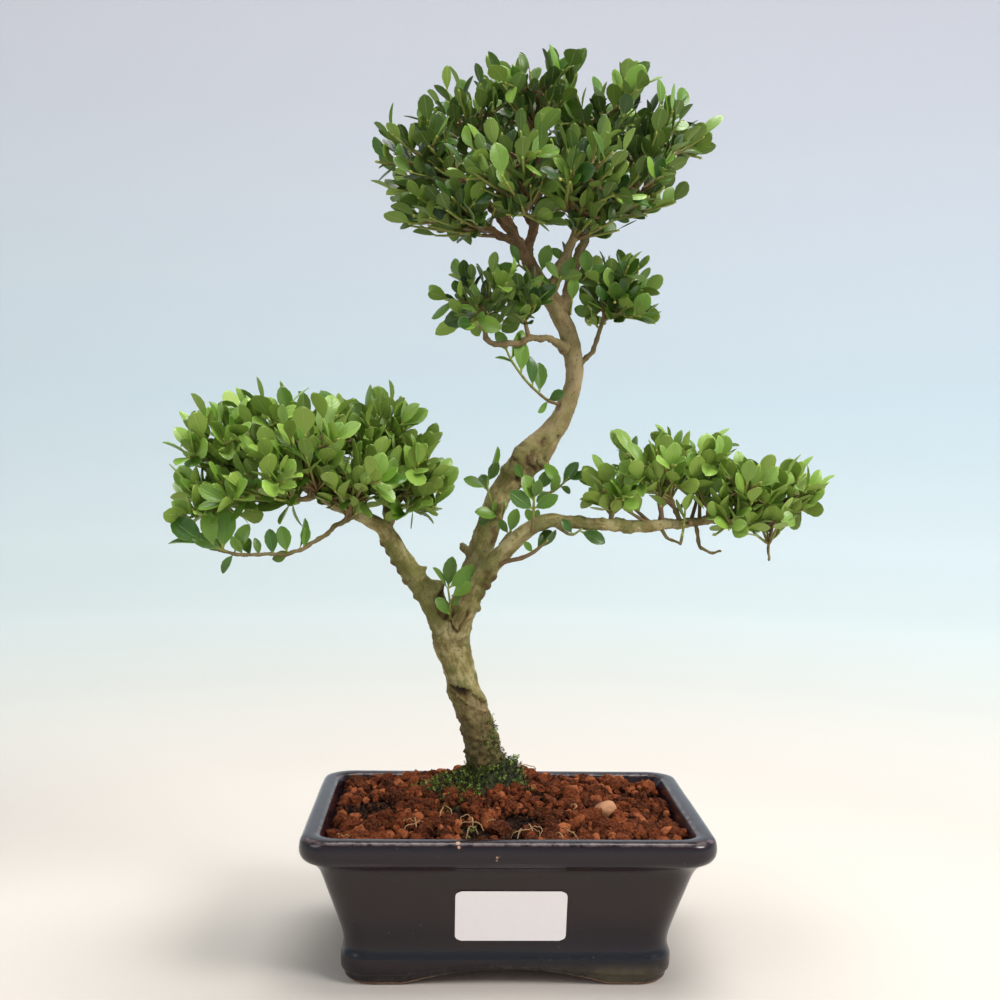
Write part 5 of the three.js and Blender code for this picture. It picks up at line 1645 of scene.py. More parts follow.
# Each leafy head: its node, the seed of its draws, the point that its shoots fan out from, how
# light and large its leaves are, how much painted shade darkens it inside, and how many shoots
# are added here for each of the part's. The pads' lighter tone and weaker shade are partly
# painted light, for leaves that stand in the sun. Its clumps are the part's: centre, radii to
# the shoot tips and shoots tried.
# The low clumps are drawn only here, and so are the twigs and leaves placed one by one.
HEADS = [
    {"node": "crown_leaves", "seed": 11, "root": (16, 2, 345),
     "tone": 0.44, "size": 0.95, "shade": 1.2, "extra": 3.0,
     "clumps": [
        ((12, 0, 446), (26, 38, 19), 8), ((-47, 0, 409), (24, 30, 20), 8),
        ((-34, -14, 378), (20, 22, 13), 7), ((-22, 6, 432), (24, 34, 19), 7),
        ((46, -4, 433), (25, 34, 19), 7), ((75, 4, 424), (24, 30, 19), 8),
        ((64, -12, 394), (20, 24, 15), 6), ((-3, -40, 397), (24, 24, 20), 7),
        ((33, -40, 395), (24, 24, 20), 7), ((-6, 42, 434), (28, 26, 20), 7),
        ((49, 44, 430), (26, 26, 20), 7), ((21, 26, 399), (24, 26, 15), 2)],
     "low": [
        ((-30, -30, 378), (22, 16, 12), 4), ((4, -36, 377), (16, 12, 11), 2),
        ((42, -26, 378), (18, 14, 12), 3), ((20, 20, 420), (24, 20, 16), 3)],
     "twigs": [
         [(9.2, 0, 331.1, 0.7), (9.6, -2, 338.7, 0.5)], [(17, 0, 347.4, 0.7), (14.9, -3, 354.1, 0.5)],
         [(9.2, 1, 353.6, 0.8), (3.7, -4, 356.8, 0.5)], [(21.5, 0, 343.7, 0.8), (24.2, -5, 350.1, 0.5)],
         [(30.6, 3, 333, 0.8), (30.9, -4, 338.8, 0.5)], [(31, 3, 346.1, 0.7), (38.6, -6, 352.1, 0.5)],
         [(29.4, 2, 352, 0.7), (27.5, -4, 359.6, 0.5)]],
     "leaves": [
         (9.6, -2, 338.7, 8, -6, 353.1, 0), (14.9, -3, 354.1, 18.1, -8, 366.7, 0),
         (3.7, -4, 356.8, -8.4, -7, 353.1, 0), (24.2, -5, 349.8, 35.5, -9, 352.5, 1),
         (24.2, -5, 350.1, 31.4, -9, 360.7, 0), (30.9, -4, 338.8, 31.6, -8, 351.1, 0),
         (38.6, -6, 352.1, 36.9, -10, 364.2, 0), (27.5, -4, 359.6, 24.7, -8, 368.8, 1),
         (20.5, -2, 346, 13.9, -9, 350.7, 1), (9.2, -1.5, 335, 2, -8, 340, 0),
         (3.7, -4, 356.8, -2, -10, 366, 0), (38.6, -6, 352.1, 47, -9, 357, 0),
         (27.5, -4, 359.6, 20, -9, 365, 0), (24.2, -5, 350.1, 17, -9, 358, 0)]},
    {"node": "left_pad_leaves", "seed": 23, "root": (-85, -6, 205),
     "tone": 1.05, "size": 1.08, "shade": 0.45, "extra": 3.1,
     "clumps": [
        ((-151, -8, 260), (18, 24, 16), 7), ((-145, -20, 233), (18, 22, 13), 6),
        ((-125, 4, 271), (22, 28, 18), 6), ((-100, -30, 260), (22, 22, 18), 7),
        ((-103, 22, 262), (24, 24, 17), 6), ((-72, 8, 269), (21, 26, 17), 7),
        ((-51, -7, 249), (18, 22, 17), 7), ((-121, -34, 242), (22, 20, 16), 6),
        ((-76, -26, 245), (18, 18, 12), 5)],
     "low": [
        ((-92, -10, 237), (15, 12, 9), 3), ((-80, -14, 235), (13, 10, 8), 3),
        ((-51, -10, 232), (13, 12, 9), 3)]},
    {"node": "right_pad_inner_leaves", "seed": 37, "root": (80, -14, 200),
     "tone": 1.15, "size": 1.02, "shade": 0.25, "extra": 2.5,
     "clumps": [
        ((53, -14, 240), (12, 14, 9), 4), ((75, -14, 251), (17, 22, 15), 7),
        ((101, 4, 252), (19, 24, 16), 8)],
     "low": [((92, -20, 226), (13, 10, 9), 3)]},
    {"node": "right_pad_outer_leaves", "seed": 43, "root": (118, -10, 200),
     "tone": 1.15, "size": 1.02, "shade": 0.25, "extra": 2.5,
     "clumps": [
        ((120, -16, 243), (15, 20, 15), 7), ((144, -8, 239), (14, 17, 13), 7)],
     "low": [((113, -21, 226), (14, 10, 9), 4), ((132, -16, 226), (12, 10, 8), 2)]},
    {"node": "middle_left_leaves", "seed": 53, "root": (-4, -15, 308),
     "tone": 0.46, "size": 0.8, "shade": 1.0, "extra": 1.7,
     "clumps": [
        ((-16, -20, 336), (19, 22, 19), 9), ((5, -15, 334), (12, 14, 13), 5)]},
    {"node": "middle_right_leaves", "seed": 61, "root": (44, 12, 312),
     "tone": 0.6, "size": 0.95, "shade": 0.7, "extra": 2.2,
     "clumps": [
        ((54, 8, 343), (18, 22, 22), 12)],
     "low": [((56, -6, 333), (13, 10, 8), 3)]},
]
# Each sprig: its node, the seed of its draws, its twigs as rows of place and radius, and its
# leaves as root, tip and 1 if seen on edge.
SPRIGS = [
    {"node": "crotch_leaves", "seed": 71, "twigs": [
        [(-29.6, 12.5, 171.4, 0.8), (-29.9, 8.5, 176.9, 0.65), (-30.2, 6, 182.5, 0.6),
         (-31.1, 4, 188.3, 0.5)]],
     "leaves": [
         (-31.1, 4, 188.3, -39.7, 2, 199.6, 1), (-31, 4, 189, -29.8, 3, 205.3, 0),
         (-30.8, 3.5, 189, -18, 0, 200.3, 0), (-29.4, 5, 184.6, -18.2, 1, 192, 0),
         (-29.2, 7, 179.1, -22.7, 6, 185.3, 0), (-30, 8, 174.3, -37.2, 4, 183.6, 0)]},
    {"node": "trunk_left_leaves", "seed": 73, "twigs": [
        [(-7.2, 12, 228, 0.9), (-9.6, 7, 236.1, 0.65), (-11.2, 5, 242, 0.6), (-11.1, 4, 245.3, 0.5),
         (-10.3, 3, 250.3, 0.4)],
        [(-3.2, 12, 225, 0.9), (-6.9, 8.5, 227.1, 0.7), (-10.9, 6, 228.5, 0.5)]],
     "leaves": [
         (-11.1, 4, 245, -6.8, 3, 263.8, 1), (-11, 4, 245.3, -5.5, 0, 255.3, 0),
         (-12.1, 5, 241.7, -23.4, 3, 246.8, 0), (-4.9, 8, 226.5, -17.1, 2, 229.7, 1),
         (-8.5, 8, 227.5, -15.4, 5, 222.8, 1), (-7.7, 9, 228.4, -7.1, 5, 233.8, 0),
         (-3.3, 9, 226.5, -1.6, 4, 235.6, 1), (-11, 5.5, 240, -14.6, 12, 249, 0)]},
    {"node": "trunk_right_leaves", "seed": 79, "twigs": [
        [(5.5, 11, 243.5, 1.0), (14.5, 5, 240.7, 0.8), (21.6, 3, 239.8, 0.7), (26.6, 1, 243.3, 0.6),
         (30.6, -1, 247.2, 0.45)],
        [(5.4, 11, 246, 0.7), (7.6, 6.5, 247.2, 0.5)]],
     "leaves": [
         (7.2, 6.5, 246.8, 3.5, 3, 254.4, 0), (14.8, 5, 240.9, 21.7, 2, 251.2, 0),
         (21.7, 2, 240.2, 14.4, -2, 236, 0), (21.7, 2.5, 240.2, 25.9, -2, 248.4, 0),
         (26.4, 1, 243.3, 19.6, 2, 255.1, 0), (27.6, 0.5, 244.3, 36.1, -2, 255.7, 0),
         (30.5, -1, 247, 39.3, -5, 250.1, 0), (26.6, 1, 243.3, 32.4, 6, 239.9, 0)]},
    {"node": "trunk_front_leaves", "seed": 83, "twigs": [
        [(11.4, -13, 219.8, 1.0), (11.8, -15.5, 226.3, 0.8), (12, -16, 232.7, 0.75),
         (12, -16.5, 237.8, 0.6), (11.5, -17, 242.9, 0.45)]],
     "leaves": [
         (11.9, -16, 231.4, 0.1, -20, 240.7, 0), (12, -16, 232, 23.4, -21, 238.6, 0),
         (12.2, -16.5, 235, 7.1, -18, 249.3, 0), (12, -16.5, 237.2, 14.5, -20, 246.6, 0),
         (12, -16.5, 236.5, 9.6, -18, 243.5, 1), (11.5, -17, 242.6, 12.6, -14, 249, 1)]},
    {"node": "small_shoot_leaves", "seed": 89, "twigs": [
        [(27, 8, 286, 0.95), (20.3, 2, 287.7, 0.9), (15.8, -2, 290.5, 0.8), (10.3, -6, 294.9, 0.75),
         (5.9, -9, 299.3, 0.7), (0, -12, 307, 0.65), (-3.2, -15, 313, 0.55)]],
     "leaves": [
         (19.9, 1.5, 287.6, 13.9, -3, 281.7, 1), (19.8, 1, 288.2, 27.2, -6, 292, 0),
         (11, -5.5, 294.6, 10.1, -9, 310.2, 0), (14.9, -3, 291.5, 14.6, 0, 307.2, 0),
         (4.9, -10, 301, 4.9, -12, 318.7, 0), (-0.6, -12, 308, 7, -10, 322.9, 0),
         (-2.2, -13, 311.5, -8.1, -15, 321.8, 0), (1.2, -11.5, 305.9, -7.9, -14, 310, 1)]},
    {"node": "under_limb_leaves", "seed": 97, "twigs": [
        [(-7, -2, 200, 1.4), (-3.9, -6, 202.8, 1.25), (0.6, -9, 204.8, 1.15), (6.6, -12, 206.5, 1.2),
         (12.6, -14, 209.8, 1.0), (18.5, -16, 215.2, 0.8)],
        [(24.5, -12.5, 223, 1.1), (29.4, -17, 219.7, 0.8), (32.3, -18, 219.4, 0.7),
         (35.6, -18.5, 221.6, 0.5)],
        [(-4.5, 0, 212, 1.0), (-0.8, 0, 217.2, 0.8), (0.7, -1, 218.9, 0.6)],
        [(13.5, -9, 219, 0.8), (12.6, -7, 224.5, 0.6)]],
     "leaves": [
         (0.5, -1, 218.7, 4.5, -3, 231.4, 0), (0, 0, 218, -4.6, 2, 225.6, 0),
         (13.9, -14, 211, 22, -9, 221.6, 0), (12.2, -14, 209.6, 6.9, -17, 215, 0),
         (14.8, -15, 211.5, 23.4, -13, 221.5, 1), (13.3, -7.5, 223.3, 14.5, -6, 231.5, 0),
         (12.6, -7, 223.2, 9.1, -4, 231.8, 0), (31.7, -18, 219.6, 26.4, -20, 227, 0),
         (35.6, -18.5, 221, 48.4, -20, 215.7, 0), (35.6, -18.5, 221.6, 43, -8, 223.7, 0)]},
    {"node": "drooping_spray_leaves", "seed": 101, "twigs": [
        [(-129, -37, 208.5, 0.95), (-135.8, -38, 209.1, 0.8), (-143.3, -39.5, 211.8, 0.7),
         (-150, -40.5, 213.8, 0.5)]],
     "leaves": [
         (-102.6, -31, 211.8, -100.9, -30, 222.3, 0), (-104.7, -31, 211.4, -101.4, -28, 226.3, 1),
         (-110.4, -34, 209.4, -113.4, -34, 222.7, 0), (-117, -36, 208.3, -118.9, -36, 221.4, 0),
         (-123.7, -37, 208.3, -125, -38, 216.9, 0), (-109.5, -33, 210.1, -117.9, -28, 205.8, 1),
         (-141, -39, 211, -155.2, -42, 218.7, 0), (-150, -40.5, 213.8, -166.4, -41, 216.8, 1),
         (-149.5, -40.5, 213.6, -166, -37, 226, 0), (-145.2, -39.6, 212.2, -148.7, -41, 230, 0),
         (-141, -39, 211, -139.8, -37, 231, 0), (-135.5, -38, 209.4, -129.2, -41, 223.5, 0),
         (-135.8, -38, 209.1, -141.6, -41, 200.5, 0), (-131.5, -37.5, 208.8, -135.7, -42, 218.2, 0),
         (-127.7, -37, 208.1, -132.6, -30, 217.5, 0), (-139.3, -38.6, 210.4, -150, -32, 215.5, 0)]},
]

# Along the leaf: how far, and the half width there as a part of the greatest.
LEAF_ROWS = [(0.0, 0.07), (0.13, 0.18), (0.34, 0.72), (0.55, 1.0), (0.76, 0.91), (0.92, 0.54),
             (1.0, 0.1)]
# Width, fold along the midrib, arch along the leaf, and twist, for each shape of leaf.
LEAF_SHAPES = [(0.28, 0.14, -0.10, 0.05), (0.31, 0.08, -0.18, -0.14), (0.25, 0.20, 0.04, 0.14),
               (0.30, -0.06, -0.14, 0.0), (0.24, 0.16, -0.24, -0.2), (0.33, 0.05, -0.04, 0.1)]
LEAF_THICKNESS = 0.022


def make_leaf(name, width, fold, arch, twist):
    """One leaf a unit long, root at the origin and tip along Y: a thin closed blade."""
    points, along_marks, across_marks, faces, under = [], [], [], [], []

    def corner(u, v, w, lift):
        x = v * w * width
        z = fold * abs(v) * w * width * 2 + arch * (u * u - 0.2 * u) + lift
        turn = twist * u
        points.append((x * cos(turn) - z * sin(turn), u, x * sin(turn) + z * cos(turn)))
        along_marks.append(u)
        across_marks.append(v)
        return len(points) - 1

    tops, lows = [], []
    for u, w in LEAF_ROWS:
        thick = LEAF_THICKNESS * (0.4 + 0.6 * w)
        left, right = corner(u, -1, w, 0), corner(u, 1, w, 0)
        half_left, half_right = corner(u, -0.5, w, thick), corner(u, 0.5, w, thick)
        middle = corner(u, 0, w, thick * 0.45)
        rib = corner(u, 0, w, -thick * 0.7)
        tops.append((left, half_left, middle, half_right, right))
        lows.append((right, rib, left))
    for row in range(len(LEAF_ROWS) - 1):
        for low, high in ((tops[row], tops[row + 1]), (lows[row], lows[row + 1])):
            for i in range(len(low) - 1):
                faces.append((low[i], low[i + 1], high[i + 1], high[i]))
                under.append(0.0 if len(low) == 5 else 1.0)
    faces.append((*tops[0][::-1], lows[0][1]))
    faces.append((*tops[-1], lows[-1][1]))
    under += [0.0, 0.0]
    mesh = bpy.data.meshes.new(name)
    mesh.from_pydata(points, [], faces)
    shade(mesh)
    margin = {frozenset((low[side], high[side]))
              for low, high in zip(tops, tops[1:]) for side in (0, 4)}
    sharp = [frozenset(edge.vertices) in margin for edge in mesh.edges]
    store(mesh, "sharp_edge", sharp, "BOOLEAN", "EDGE")
    store(mesh, "leaf_along", along_marks)
    store(mesh, "leaf_across", across_marks)
    store(mesh, "underside", under, domain="FACE")
    return bpy.data.objects.new(name, mesh)


def make_bud():
    """A small closed scale bud, a unit long along Y."""
    rings = []
    for y, radius in ((0.05, 0.2), (0.3, 0.34), (0.6, 0.3), (0.85, 0.14)):
        rings.append([(radius * cos(a * pi / 3), y, -radius * sin(a * pi / 3)) for a in range(6)])
    points, faces = skin(rings, (0, 0, 0), (0, 1, 0))
    mesh = bpy.data.meshes.new("bud_shape")
    mesh.from_pydata(points, [], faces)
    shade(mesh)
    return bpy.data.objects.new("bud_shape", mesh)


def leaf_finish():
    leaf = Finish("holly_leaf")
    place = leaf.place()
    along, across = leaf.mark("leaf_along"), leaf.mark("leaf_across")
    tone, youth, depth = leaf.mark("tone"), leaf.mark("youth"), leaf.mark("depth")
    under = leaf.mark("underside")
    aside = leaf.maths("ABSOLUTE", across)
    mottle = leaf.cloud(place, 330, 3)
    colour = leaf.ramp(tone, [(0.0, 22, 50, 14), (0.4, 52, 91, 20), (0.75, 98, 137, 38),
                              (1.0, 130, 162, 66)])
    colour = leaf.mix(youth, colour, (140, 164, 68))
    colour = leaf.mix((mottle - 0.3) * 0.35, colour, (98, 130, 52))
    # Painted shade: leaves deep inside a clump are darkened towards a near-black green.
    colour = leaf.mix(leaf.maths("MINIMUM", depth * 0.75, 0.9), colour, (12, 24, 6))
    rib = 1 - leaf.step(aside, 0.02, 0.09)
    colour = leaf.mix(rib * (1 - along) * 0.4, colour, (132, 160, 80))
    margin = leaf.step(aside, 0.88, 0.98)
    colour = leaf.mix(margin * 0.35, colour, (146, 164, 92))
    stalk = 1 - leaf.step(along, 0.08, 0.2)
    colour = leaf.mix(stalk * 0.7, colour, (158, 166, 78))
    back = leaf.mix(tone, (84, 112, 40), (138, 162, 66))
    # The same painted shade on the undersides of inner leaves.
    back = leaf.mix(depth * 0.7, back, (26, 38, 12))
    back = leaf.mix(rib * 0.5, back, (160, 170, 110))
    colour = leaf.mix(under * 0.85, colour, back)
    veins = leaf.maths("PINGPONG", along * 8 - aside * 2.2, 0.5) * 2
    vein_line = leaf.step(veins, 0.82, 1.0) * (1 - rib)
    roughness = 0.27 + mottle * 0.12 + under * 0.22
    relief = mottle * 0.35 - vein_line * 0.25 - rib * 0.8
    return leaf.done(Base_Color=colour, Roughness=roughness, IOR=1.47, Specular_IOR_Level=0.42,
                     Normal=leaf.relief(relief, 0.00025, 0.6))


def shoot_finish():
    shoot = Finish("green_shoot")
    place = shoot.place()
    thick = shoot.mark("thickness") * 1000
    fleck = shoot.cloud(place, 420, 3)
    colour = shoot.mix(fleck, (104, 116, 42), (142, 148, 64))
    woody = shoot.step(thick + fleck * 0.3, 0.8, 1.1)
    colour = shoot.mix(woody, colour, shoot.mix(fleck, (84, 62, 36), (136, 106, 66)))
    return shoot.done(Base_Color=colour, Roughness=0.6, Normal=shoot.relief(fleck, 0.0003, 0.6))


def bud_finish():
    bud = Finish("pale_bud")
    fleck = bud.cloud(bud.place(), 700, 2)
    colour = bud.mix(fleck, (128, 138, 50), (178, 176, 86))
    return bud.done(Base_Color=colour, Roughness=0.5, Normal=bud.relief(fleck, 0.0001, 0.4))


def foliage_recipe():
    """Twigs as tubes along the plan's edges, and a leaf or a bud on each of its loose points."""
    recipe = Recipe("foliage", {
        "Leaves": "Collection", "Buds": "Collection", "Twig sides": "Int",
        "Leaf finish": "Material", "Shoot finish": "Material", "Bud finish": "Material"})
    given = recipe.given
    joined = recipe.node("GeometryNodeJoinGeometry")
    join_input = recipe.tree.nodes[-1].inputs[0]
    twigs = tubes_along(recipe, given["Geometry"], given["Twig sides"])
    twigs = recipe.node("GeometryNodeSetShadeSmooth", {}, {"Geometry": twigs})["Geometry"]
    ends = [recipe.painted(twigs, given["Shoot finish"])]
    for kind, shapes, finish in ((1, "Leaves", "Leaf finish"), (2, "Buds", "Bud finish")):
        chosen = recipe.node("FunctionNodeCompare", {"data_type": "INT", "operation": "EQUAL"},
                             {2: recipe.named("kind", "INT"), 3: kind})[0]
        spots = recipe.node("GeometryNodeMeshToPoints", {}, {"Mesh": given["Geometry"],
                                                             "Selection": chosen})["Points"]
        real = recipe.copies(spots, given[shapes], {
            "Instance Index": recipe.named("shape", "INT"), "Scale": recipe.named("size"),
            "Rotation": recipe.turned(recipe.named("turn", "FLOAT_VECTOR"))})
        ends.append(recipe.painted(real, given[finish]))
    for end in ends:
        recipe.tree.links.new(end, join_input)
    recipe.end(joined[0])
    return recipe


LEAF_FORMS = collection_of(
    "leaf_forms", [make_leaf(f"leaf_{i}", *shape) for i, shape in enumerate(LEAF_SHAPES)])
BUD_FORMS = collection_of("bud_forms", [make_bud()])
FOLIAGE = foliage_recipe()
LEAF_FINISH, SHOOT_FINISH, BUD_FINISH = leaf_finish(), shoot_finish(), bud_finish()


class Plan:
    """What grows at one branch end: chains of twig points, leaves and buds, in millimetres."""

    def __init__(self):
        self.points, self.edges, self.rows = [], [], []

    def add(self, point, thickness=0.0, kind=0, turn=(0, 0, 0), size=0.0, shape=0, marks=(0, 0, 0)):
        """A point of a twig, or the root of a leaf (kind 1) or a bud (kind 2)."""
        self.points.append(tuple(placed(point)))
        self.rows.append((thickness * MM, kind, turn, size * MM, shape, *marks))
        return len(self.points) - 1

    def twig(self, chain):
        last = None
        for point, radius in chain:
            here = self.add(point, radius)
            if last is not None:
                self.edges.append((last, here))
            last = here

    def set_on(self, point, along, face, **rest):
        """A leaf or a bud that points along, with its upper side turned to face."""
        side = along.cross(face)
        turn = Matrix((side, along, face)).transposed().to_euler()
        self.add(point, turn=tuple(turn), **rest)

    def mesh(self, name):
        mesh = bpy.data.meshes.new(name)
        mesh.from_pydata(self.points, self.edges, [])
        labels = ("thickness", "kind", "turn", "size", "shape", "tone", "youth", "depth")
        for label, column in zip(labels, zip(*self.rows)):
            if label == "turn":
                store(mesh, label, [value for turn in column for value in turn], "FLOAT_VECTOR")
            else:
                store(mesh, label, column, "INT" if label in ("kind", "shape") else "FLOAT")
        return add_object(name, mesh)


class Spots:
    """Places already used by leaves, kept in cells so that near ones are found fast."""

    def __init__(self):
        self.cells = {}

    def cell(self, spot):
        return tuple(floor(value / LEAF_CLEARANCE) for value in spot)

    def add(self, spots):
        for spot in spots:
            self.cells.setdefault(self.cell(spot), []).append(spot)

    def free(self, spots, distance):
        for spot in spots:
            i, j, k = self.cell(spot)
            near = [other for a in (-1, 0, 1) for b in (-1, 0, 1) for c in (-1, 0, 1)
                    for other in self.cells.get((i + a, j + b, k + c), ())]
            if any((spot - other).length <= distance for other in near):
                return False
        return True


def square_to(vector, along):
    return (vector - along * vector.dot(along)).normalized()


def leaf_pose(along, across, turn, tilt):
    """A leaf's direction and the way its upper face looks, by the part's own rule."""
    side = Quaternion(along, turn) @ across
    direction = (along * cos(tilt) + side * sin(tilt) + UP * 0.28).normalized()
    return direction, square_to(along + UP * 0.6, direction)


def leaf_spots(root, direction, length):
    """The two points of a leaf that keep clear of other leaves."""
    return [root + direction * (part * length) for part in (0.45, 0.85)]


def part_leaves(base, tip, count, draw, taken):
    """The leaves that the part's own solids carry on a shoot, found by the same draws."""
    axis = tip - base
    along = axis.normalized()
    across = UP.cross(along).normalized()
    leaves = []
    for i in range(count):
        part = 1 if count == 1 else 0.42 + 0.58 * i / (count - 1)
        turn = i * GOLDEN_ANGLE + 6.283 * draw()
        tilt = (0.35 if i == count - 1 else 0.95) + 0.3 * (draw() - 0.5)
        length = LEAF_LENGTH * (0.8 + 0.4 * draw())
        direction, face = leaf_pose(along, across, turn, tilt)
        root = base + axis * part
        spots = leaf_spots(root, direction, length)
        if taken.free(spots, LEAF_CLEARANCE):
            taken.add(spots)
            leaves.append((root, direction, face, length))
    return leaves


def on_clump(radii, height, turn):
    """From a clump's centre to its skin, where height goes from -1 at its foot to 1 at its top."""
    ring = sqrt(1 - height * height)
    return Vector((ring * cos(turn) * radii[0], ring * sin(turn) * radii[1], height * radii[2]))


def part_shoots(head, taken):
    """The shoots of the part's own solids, each with its leaves."""
    draw = make_random(head["seed"])
    shoots = []
    for number, (at, radii, count) in enumerate(head["clumps"]):
        centre = Vector(at)
        for i in range(count):
            height = 1 - 2 * (i + 0.5) / count
            turn = i * GOLDEN_ANGLE + 0.8 * draw()
            reach = 0.88 + 0.2 * draw()
            out = on_clump(radii, height, turn)
            tip, base = centre + out * reach, centre + out * (CORE_PART / 3)
            crowded = any(other != number and inside(tip, clump) < 0.8
                          for other, clump in enumerate(head["clumps"]))
            if height > -0.72 and not crowded:
                shoots.append((base, tip, part_leaves(base, tip, LEAVES_ON_SHOOT, draw, taken)))
    return shoots


def inside(point, clump):
    """How far out a point is in a clump: 0 at its centre and 1 at its shoot tips."""
    at, radii, _ = clump
    offset = point - Vector(at)
    return Vector((offset.x / radii[0], offset.y / radii[1], offset.z / radii[2])).length


# Leaves tried on each shoot, how much they turn up, and how close two may be.
EXTRA_LEAVES = 7
UPRIGHT = 0.7
CLOSEST_LEAVES = 2.9
# How far back from its tip a shoot may start, and how much of it carries leaves.
SHOOT_REACH = 40
LEAFY_STRETCH = 32
# How far leaves may stand out of their node's box, and out of the crown's at top and foot.
OVERHANG = 2.5
CROWN_OVERHANG = 1.5
# Which way the leaves placed one by one look, and the slim shapes that they take.
FACE_ON = Vector((0.0, -1, 0.2))
SIDE_ON = Vector((0.95, -0.2, 0.3))
SLIM_SHAPES = (0, 2, 4)
# Twigs are tied to wood thicker than the first, and shoots start from wood thinner than the
# second that runs this close by the clumps.
TIE_GIRTH = 1.15
HUB_GIRTH = 3.3
HUB_REACH = 1.5


class Bunch:
    """One leafy node in the making: its plan, its draws and the leaf spots that are used up."""

    def __init__(self, node, seed, tone=0.0, taken=None):
        self.node = node
        self.plan = Plan()
        self.draw = make_random(seed * 7 + 1)
        self.tone = tone
        self.taken = taken
        low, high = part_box(node)
        room = Vector((OVERHANG, OVERHANG, CROWN_OVERHANG if node == "crown_leaves" else OVERHANG))
        self.low = (Vector(low) - POT_CENTRE) / MM - room
        self.high = (Vector(high) - POT_CENTRE) / MM + room

    def in_reach(self, point):
        return all(self.low[axis] < point[axis] < self.high[axis] for axis in range(3))

    def leaf(self, root, direction, face, length, depth, young=0.0):
        """Add a leaf if it stays within reach of the node's box."""
        draw = self.draw
        edge = direction.cross(face) * (0.3 * length)
        middle = root + direction * (0.55 * length)
        outline = (root + direction * length, middle + edge, middle - edge)
        if not all(self.in_reach(point) for point in outline):
            return
        # Leaves deeper in the clump get a darker tone: painted shade.
        tone = held(self.tone + 1.1 * (draw() - 0.5) - 0.15 * depth)
        youth = min(0.85, max(0.0, young + 0.5 * (draw() - 0.7)))
        shape = int(draw() * len(LEAF_SHAPES)) % len(LEAF_SHAPES)
        roll = Quaternion(direction, 0.7 * (draw() - 0.5))
        self.plan.set_on(root, direction, (roll @ face).normalized(), kind=1, size=length, shape=shape,
                         marks=(tone, youth, depth))

    def bud(self, point, direction, size):
        face = square_to(UP + Vector((0.1, 0, 0)), direction)
        self.plan.set_on(point, direction, face, kind=2, size=size)

    def stem(self, base, tip, thick, thin):
        """A gently bowed shoot between two points. Returns the rule for a point along it."""
        length = (tip - base).length
        sag = Vector((self.draw() - 0.5, self.draw() - 0.5, -0.6)) * (0.14 * length)
        middle = (base + tip) / 2 + sag

        def at(part):
            return base * (1 - part) ** 2 + middle * (2 * part * (1 - part)) + tip * part ** 2

        steps = max(4, ceil(length / 3.5))
        chain = []
        for i in range(steps + 1):
            part = i / steps
            chain.append((at(part), thick + (thin - thick) * part + 0.1 * (i % 2)))
        self.plan.twig(chain)
        return at

    def fill(self, at, count, first, scale, depth):
        """More leaves along a shoot, each where it finds room."""
        draw = self.draw
        fresh = 0.4 * draw() if draw() < 0.3 else -0.1
        turn = 2 * pi * draw()
        for i in range(count):
            last = i == count - 1
            part = 1.0 if last else first + (1 - first) * (i + 0.6 * draw()) / count
            along = (at(min(1, part + 0.06)) - at(part - 0.06)).normalized()
            across = UP.cross(along).normalized()
            turn += GOLDEN_ANGLE + 0.5 * (draw() - 0.5)
            tilt = (0.25 if last else 0.95 - 0.5 * part) + 0.35 * (draw() - 0.5)
            length = LEAF_LENGTH * scale * (0.62 + 0.22 * part + 0.36 * draw())
            direction, face = leaf_pose(along, across, turn, tilt)
            direction = (direction + UP * UPRIGHT * draw()).normalized()
            face = square_to(face, direction)
            root = at(part)
            spots = leaf_spots(root, direction, length)
            if self.taken.free(spots, CLOSEST_LEAVES * (0.6 if last else 1)):
                self.taken.add(spots)
                self.leaf(root, direction, face, length, depth, fresh + 0.2 * part * (1 - depth))
                if draw() < 0.3:
                    self.bud(root, (direction + along).normalized(), 1.5 + draw())

    def finish(self):
        name = self.node.replace("_leaves", "_foliage")
        piece = grown(name, self.plan.mesh(name + "_plan"), FOLIAGE, {
            "Leaves": LEAF_FORMS, "Buds": BUD_FORMS, "Twig sides": 5, "Leaf finish": LEAF_FINISH,
            "Shoot finish": SHOOT_FINISH, "Bud finish": BUD_FINISH})
        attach(piece, "root")
        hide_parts(self.node)


def nearest_limb(point):
    """The closest place on the wood, to tie a clump's twigs to."""
    stout = [sample[0] for sample in LIMB_SAMPLES if sample[3] > TIE_GIRTH]
    return min(stout, key=lambda place: (place - point).length)


def limbs_by(clumps):
    """The places on thin wood that run through or close by the clumps."""
    return [sample[0] for sample in LIMB_SAMPLES
            if sample[3] < HUB_GIRTH and any(inside(sample[0], clump) < HUB_REACH for clump in clumps)]


def straight(base, tip):
    """The rule for a point along a straight shoot."""
    return lambda part: base + (tip - base) * part


def dress_part_shoots(bunch, shoots, size):
    """The part's own shoots and leaves, with more leaves wherever they leave room."""
    for base, tip, leaves in shoots:
        bunch.stem(base, tip, 1.0, 0.6)
        for root, direction, face, length in leaves:
            bunch.leaf(root, direction, face, length, 0.0, 0.15)
        bunch.bud(tip, (tip - base).normalized(), 2.1)
    for base, tip, leaves in shoots:
        bunch.fill(straight(base, tip), EXTRA_LEAVES - len(leaves), 0.3, 0.95 * size, 0.0)


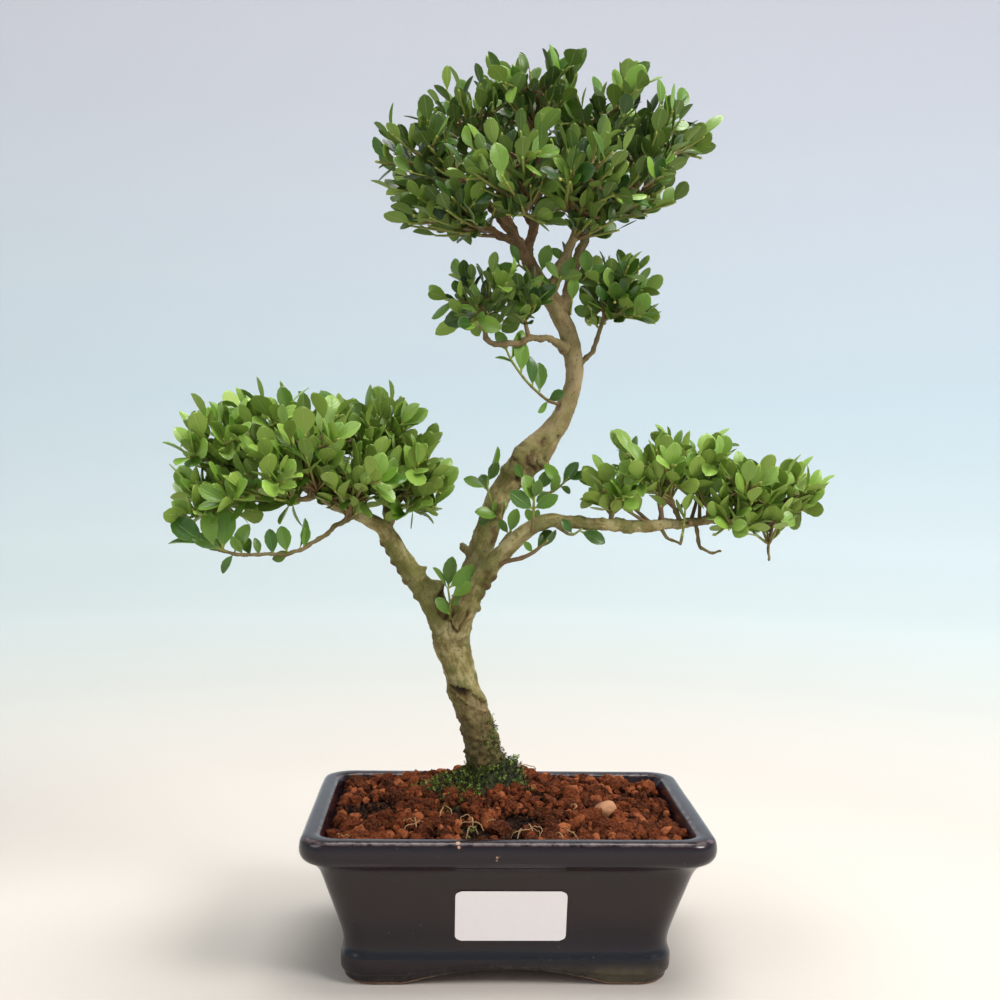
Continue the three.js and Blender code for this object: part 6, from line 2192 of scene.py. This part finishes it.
def add_shoots(bunch, head, clump, hubs):
    """New shoots in one clump, each from the wood or twig it would have grown from."""
    fan, size = Vector(head["root"]), head["size"]
    centre, radii = Vector(clump[0]), clump[1]
    extra = round(clump[2] * head["extra"])
    for i in range(extra):
        height = 1 - 2 * (i + 0.5) / extra
        turn = i * GOLDEN_ANGLE + 2.0 + 1.2 * bunch.draw()
        reach = 0.5 + 0.5 * bunch.draw()
        tip = centre + on_clump(radii, height, turn) * reach
        if height < -0.8 or not bunch.in_reach(tip):
            continue
        # How deep the tip lies in the clumps, times the head's shade, sets the painted shade on its
        # leaves.
        outer = min([inside(tip, clump)] + [inside(tip, other) for other in head["clumps"]])
        depth = head["shade"] * held(1.15 - outer)
        away = (tip - fan).normalized() * 0.6 + (tip - centre).normalized() * 0.4
        want = tip - away * min(SHOOT_REACH, 0.6 * (tip - fan).length)
        base = min(hubs, key=lambda hub: (hub - want).length + 0.4 * (hub - tip).length)
        length = (tip - base).length
        at = bunch.stem(base, tip, min(1.1, 0.6 + length / 80), 0.55)
        first = max(0.25, 1 - LEAFY_STRETCH / length)
        bunch.fill(at, EXTRA_LEAVES, first, size * (0.62 + 0.35 * reach), depth)
        bunch.bud(tip, (tip - base).normalized(), 1.8)


def draw_sprig(bunch, sprig):
    """Add the twigs and leaves that are placed one by one."""
    for twig in sprig["twigs"]:
        rows = smooth_path(twig, 4)
        bunch.plan.twig([(Vector(row[:3]), row[3] * (1 + 0.14 * (i % 4 == 0)))
                         for i, row in enumerate(rows)])
        end, before = rows[-1][:3], rows[-2][:3]
        bunch.bud(Vector(end), Vector(end - before).normalized(), 1.8)
    for row in sprig["leaves"]:
        root, tip = Vector(row[:3]), Vector(row[3:6])
        direction = (tip - root).normalized()
        look = SIDE_ON
        if not row[6]:
            look = FACE_ON + Vector((1.1 * (bunch.draw() - 0.5), 0, 0.5 * bunch.draw()))
        bunch.plan.set_on(root, direction, square_to(look, direction), kind=1, size=(tip - root).length,
                          shape=SLIM_SHAPES[int(bunch.draw() * len(SLIM_SHAPES))],
                          marks=(0.25 + 0.5 * bunch.draw(), 0.25 * bunch.draw(), 0.0))


def make_head(head, shoots, taken):
    bunch = Bunch(head["node"], head["seed"], head["tone"], taken)
    dress_part_shoots(bunch, shoots, head["size"])
    clumps = head["clumps"] + head.get("low", [])
    hubs = limbs_by(clumps)
    for clump in clumps:
        centre = Vector(clump[0])
        hold = nearest_limb(centre)
        if (hold - centre).length > 1:
            at = bunch.stem(hold, centre, 1.3, 1.0)
            hubs += [at(step / 8) for step in range(9)]
    for clump in clumps:
        add_shoots(bunch, head, clump, hubs)
    if "twigs" in head:
        draw_sprig(bunch, head)
    bunch.finish()


def make_sprig(sprig):
    bunch = Bunch(sprig["node"], sprig["seed"])
    draw_sprig(bunch, sprig)
    bunch.finish()


def grow_foliage():
    taken = Spots()
    heads = [(head, part_shoots(head, taken)) for head in HEADS]
    for head, shoots in heads:
        make_head(head, shoots, taken)
    for sprig in SPRIGS:
        make_sprig(sprig)


grow_foliage()
discard(LEAF_FORMS)
discard(BUD_FORMS)
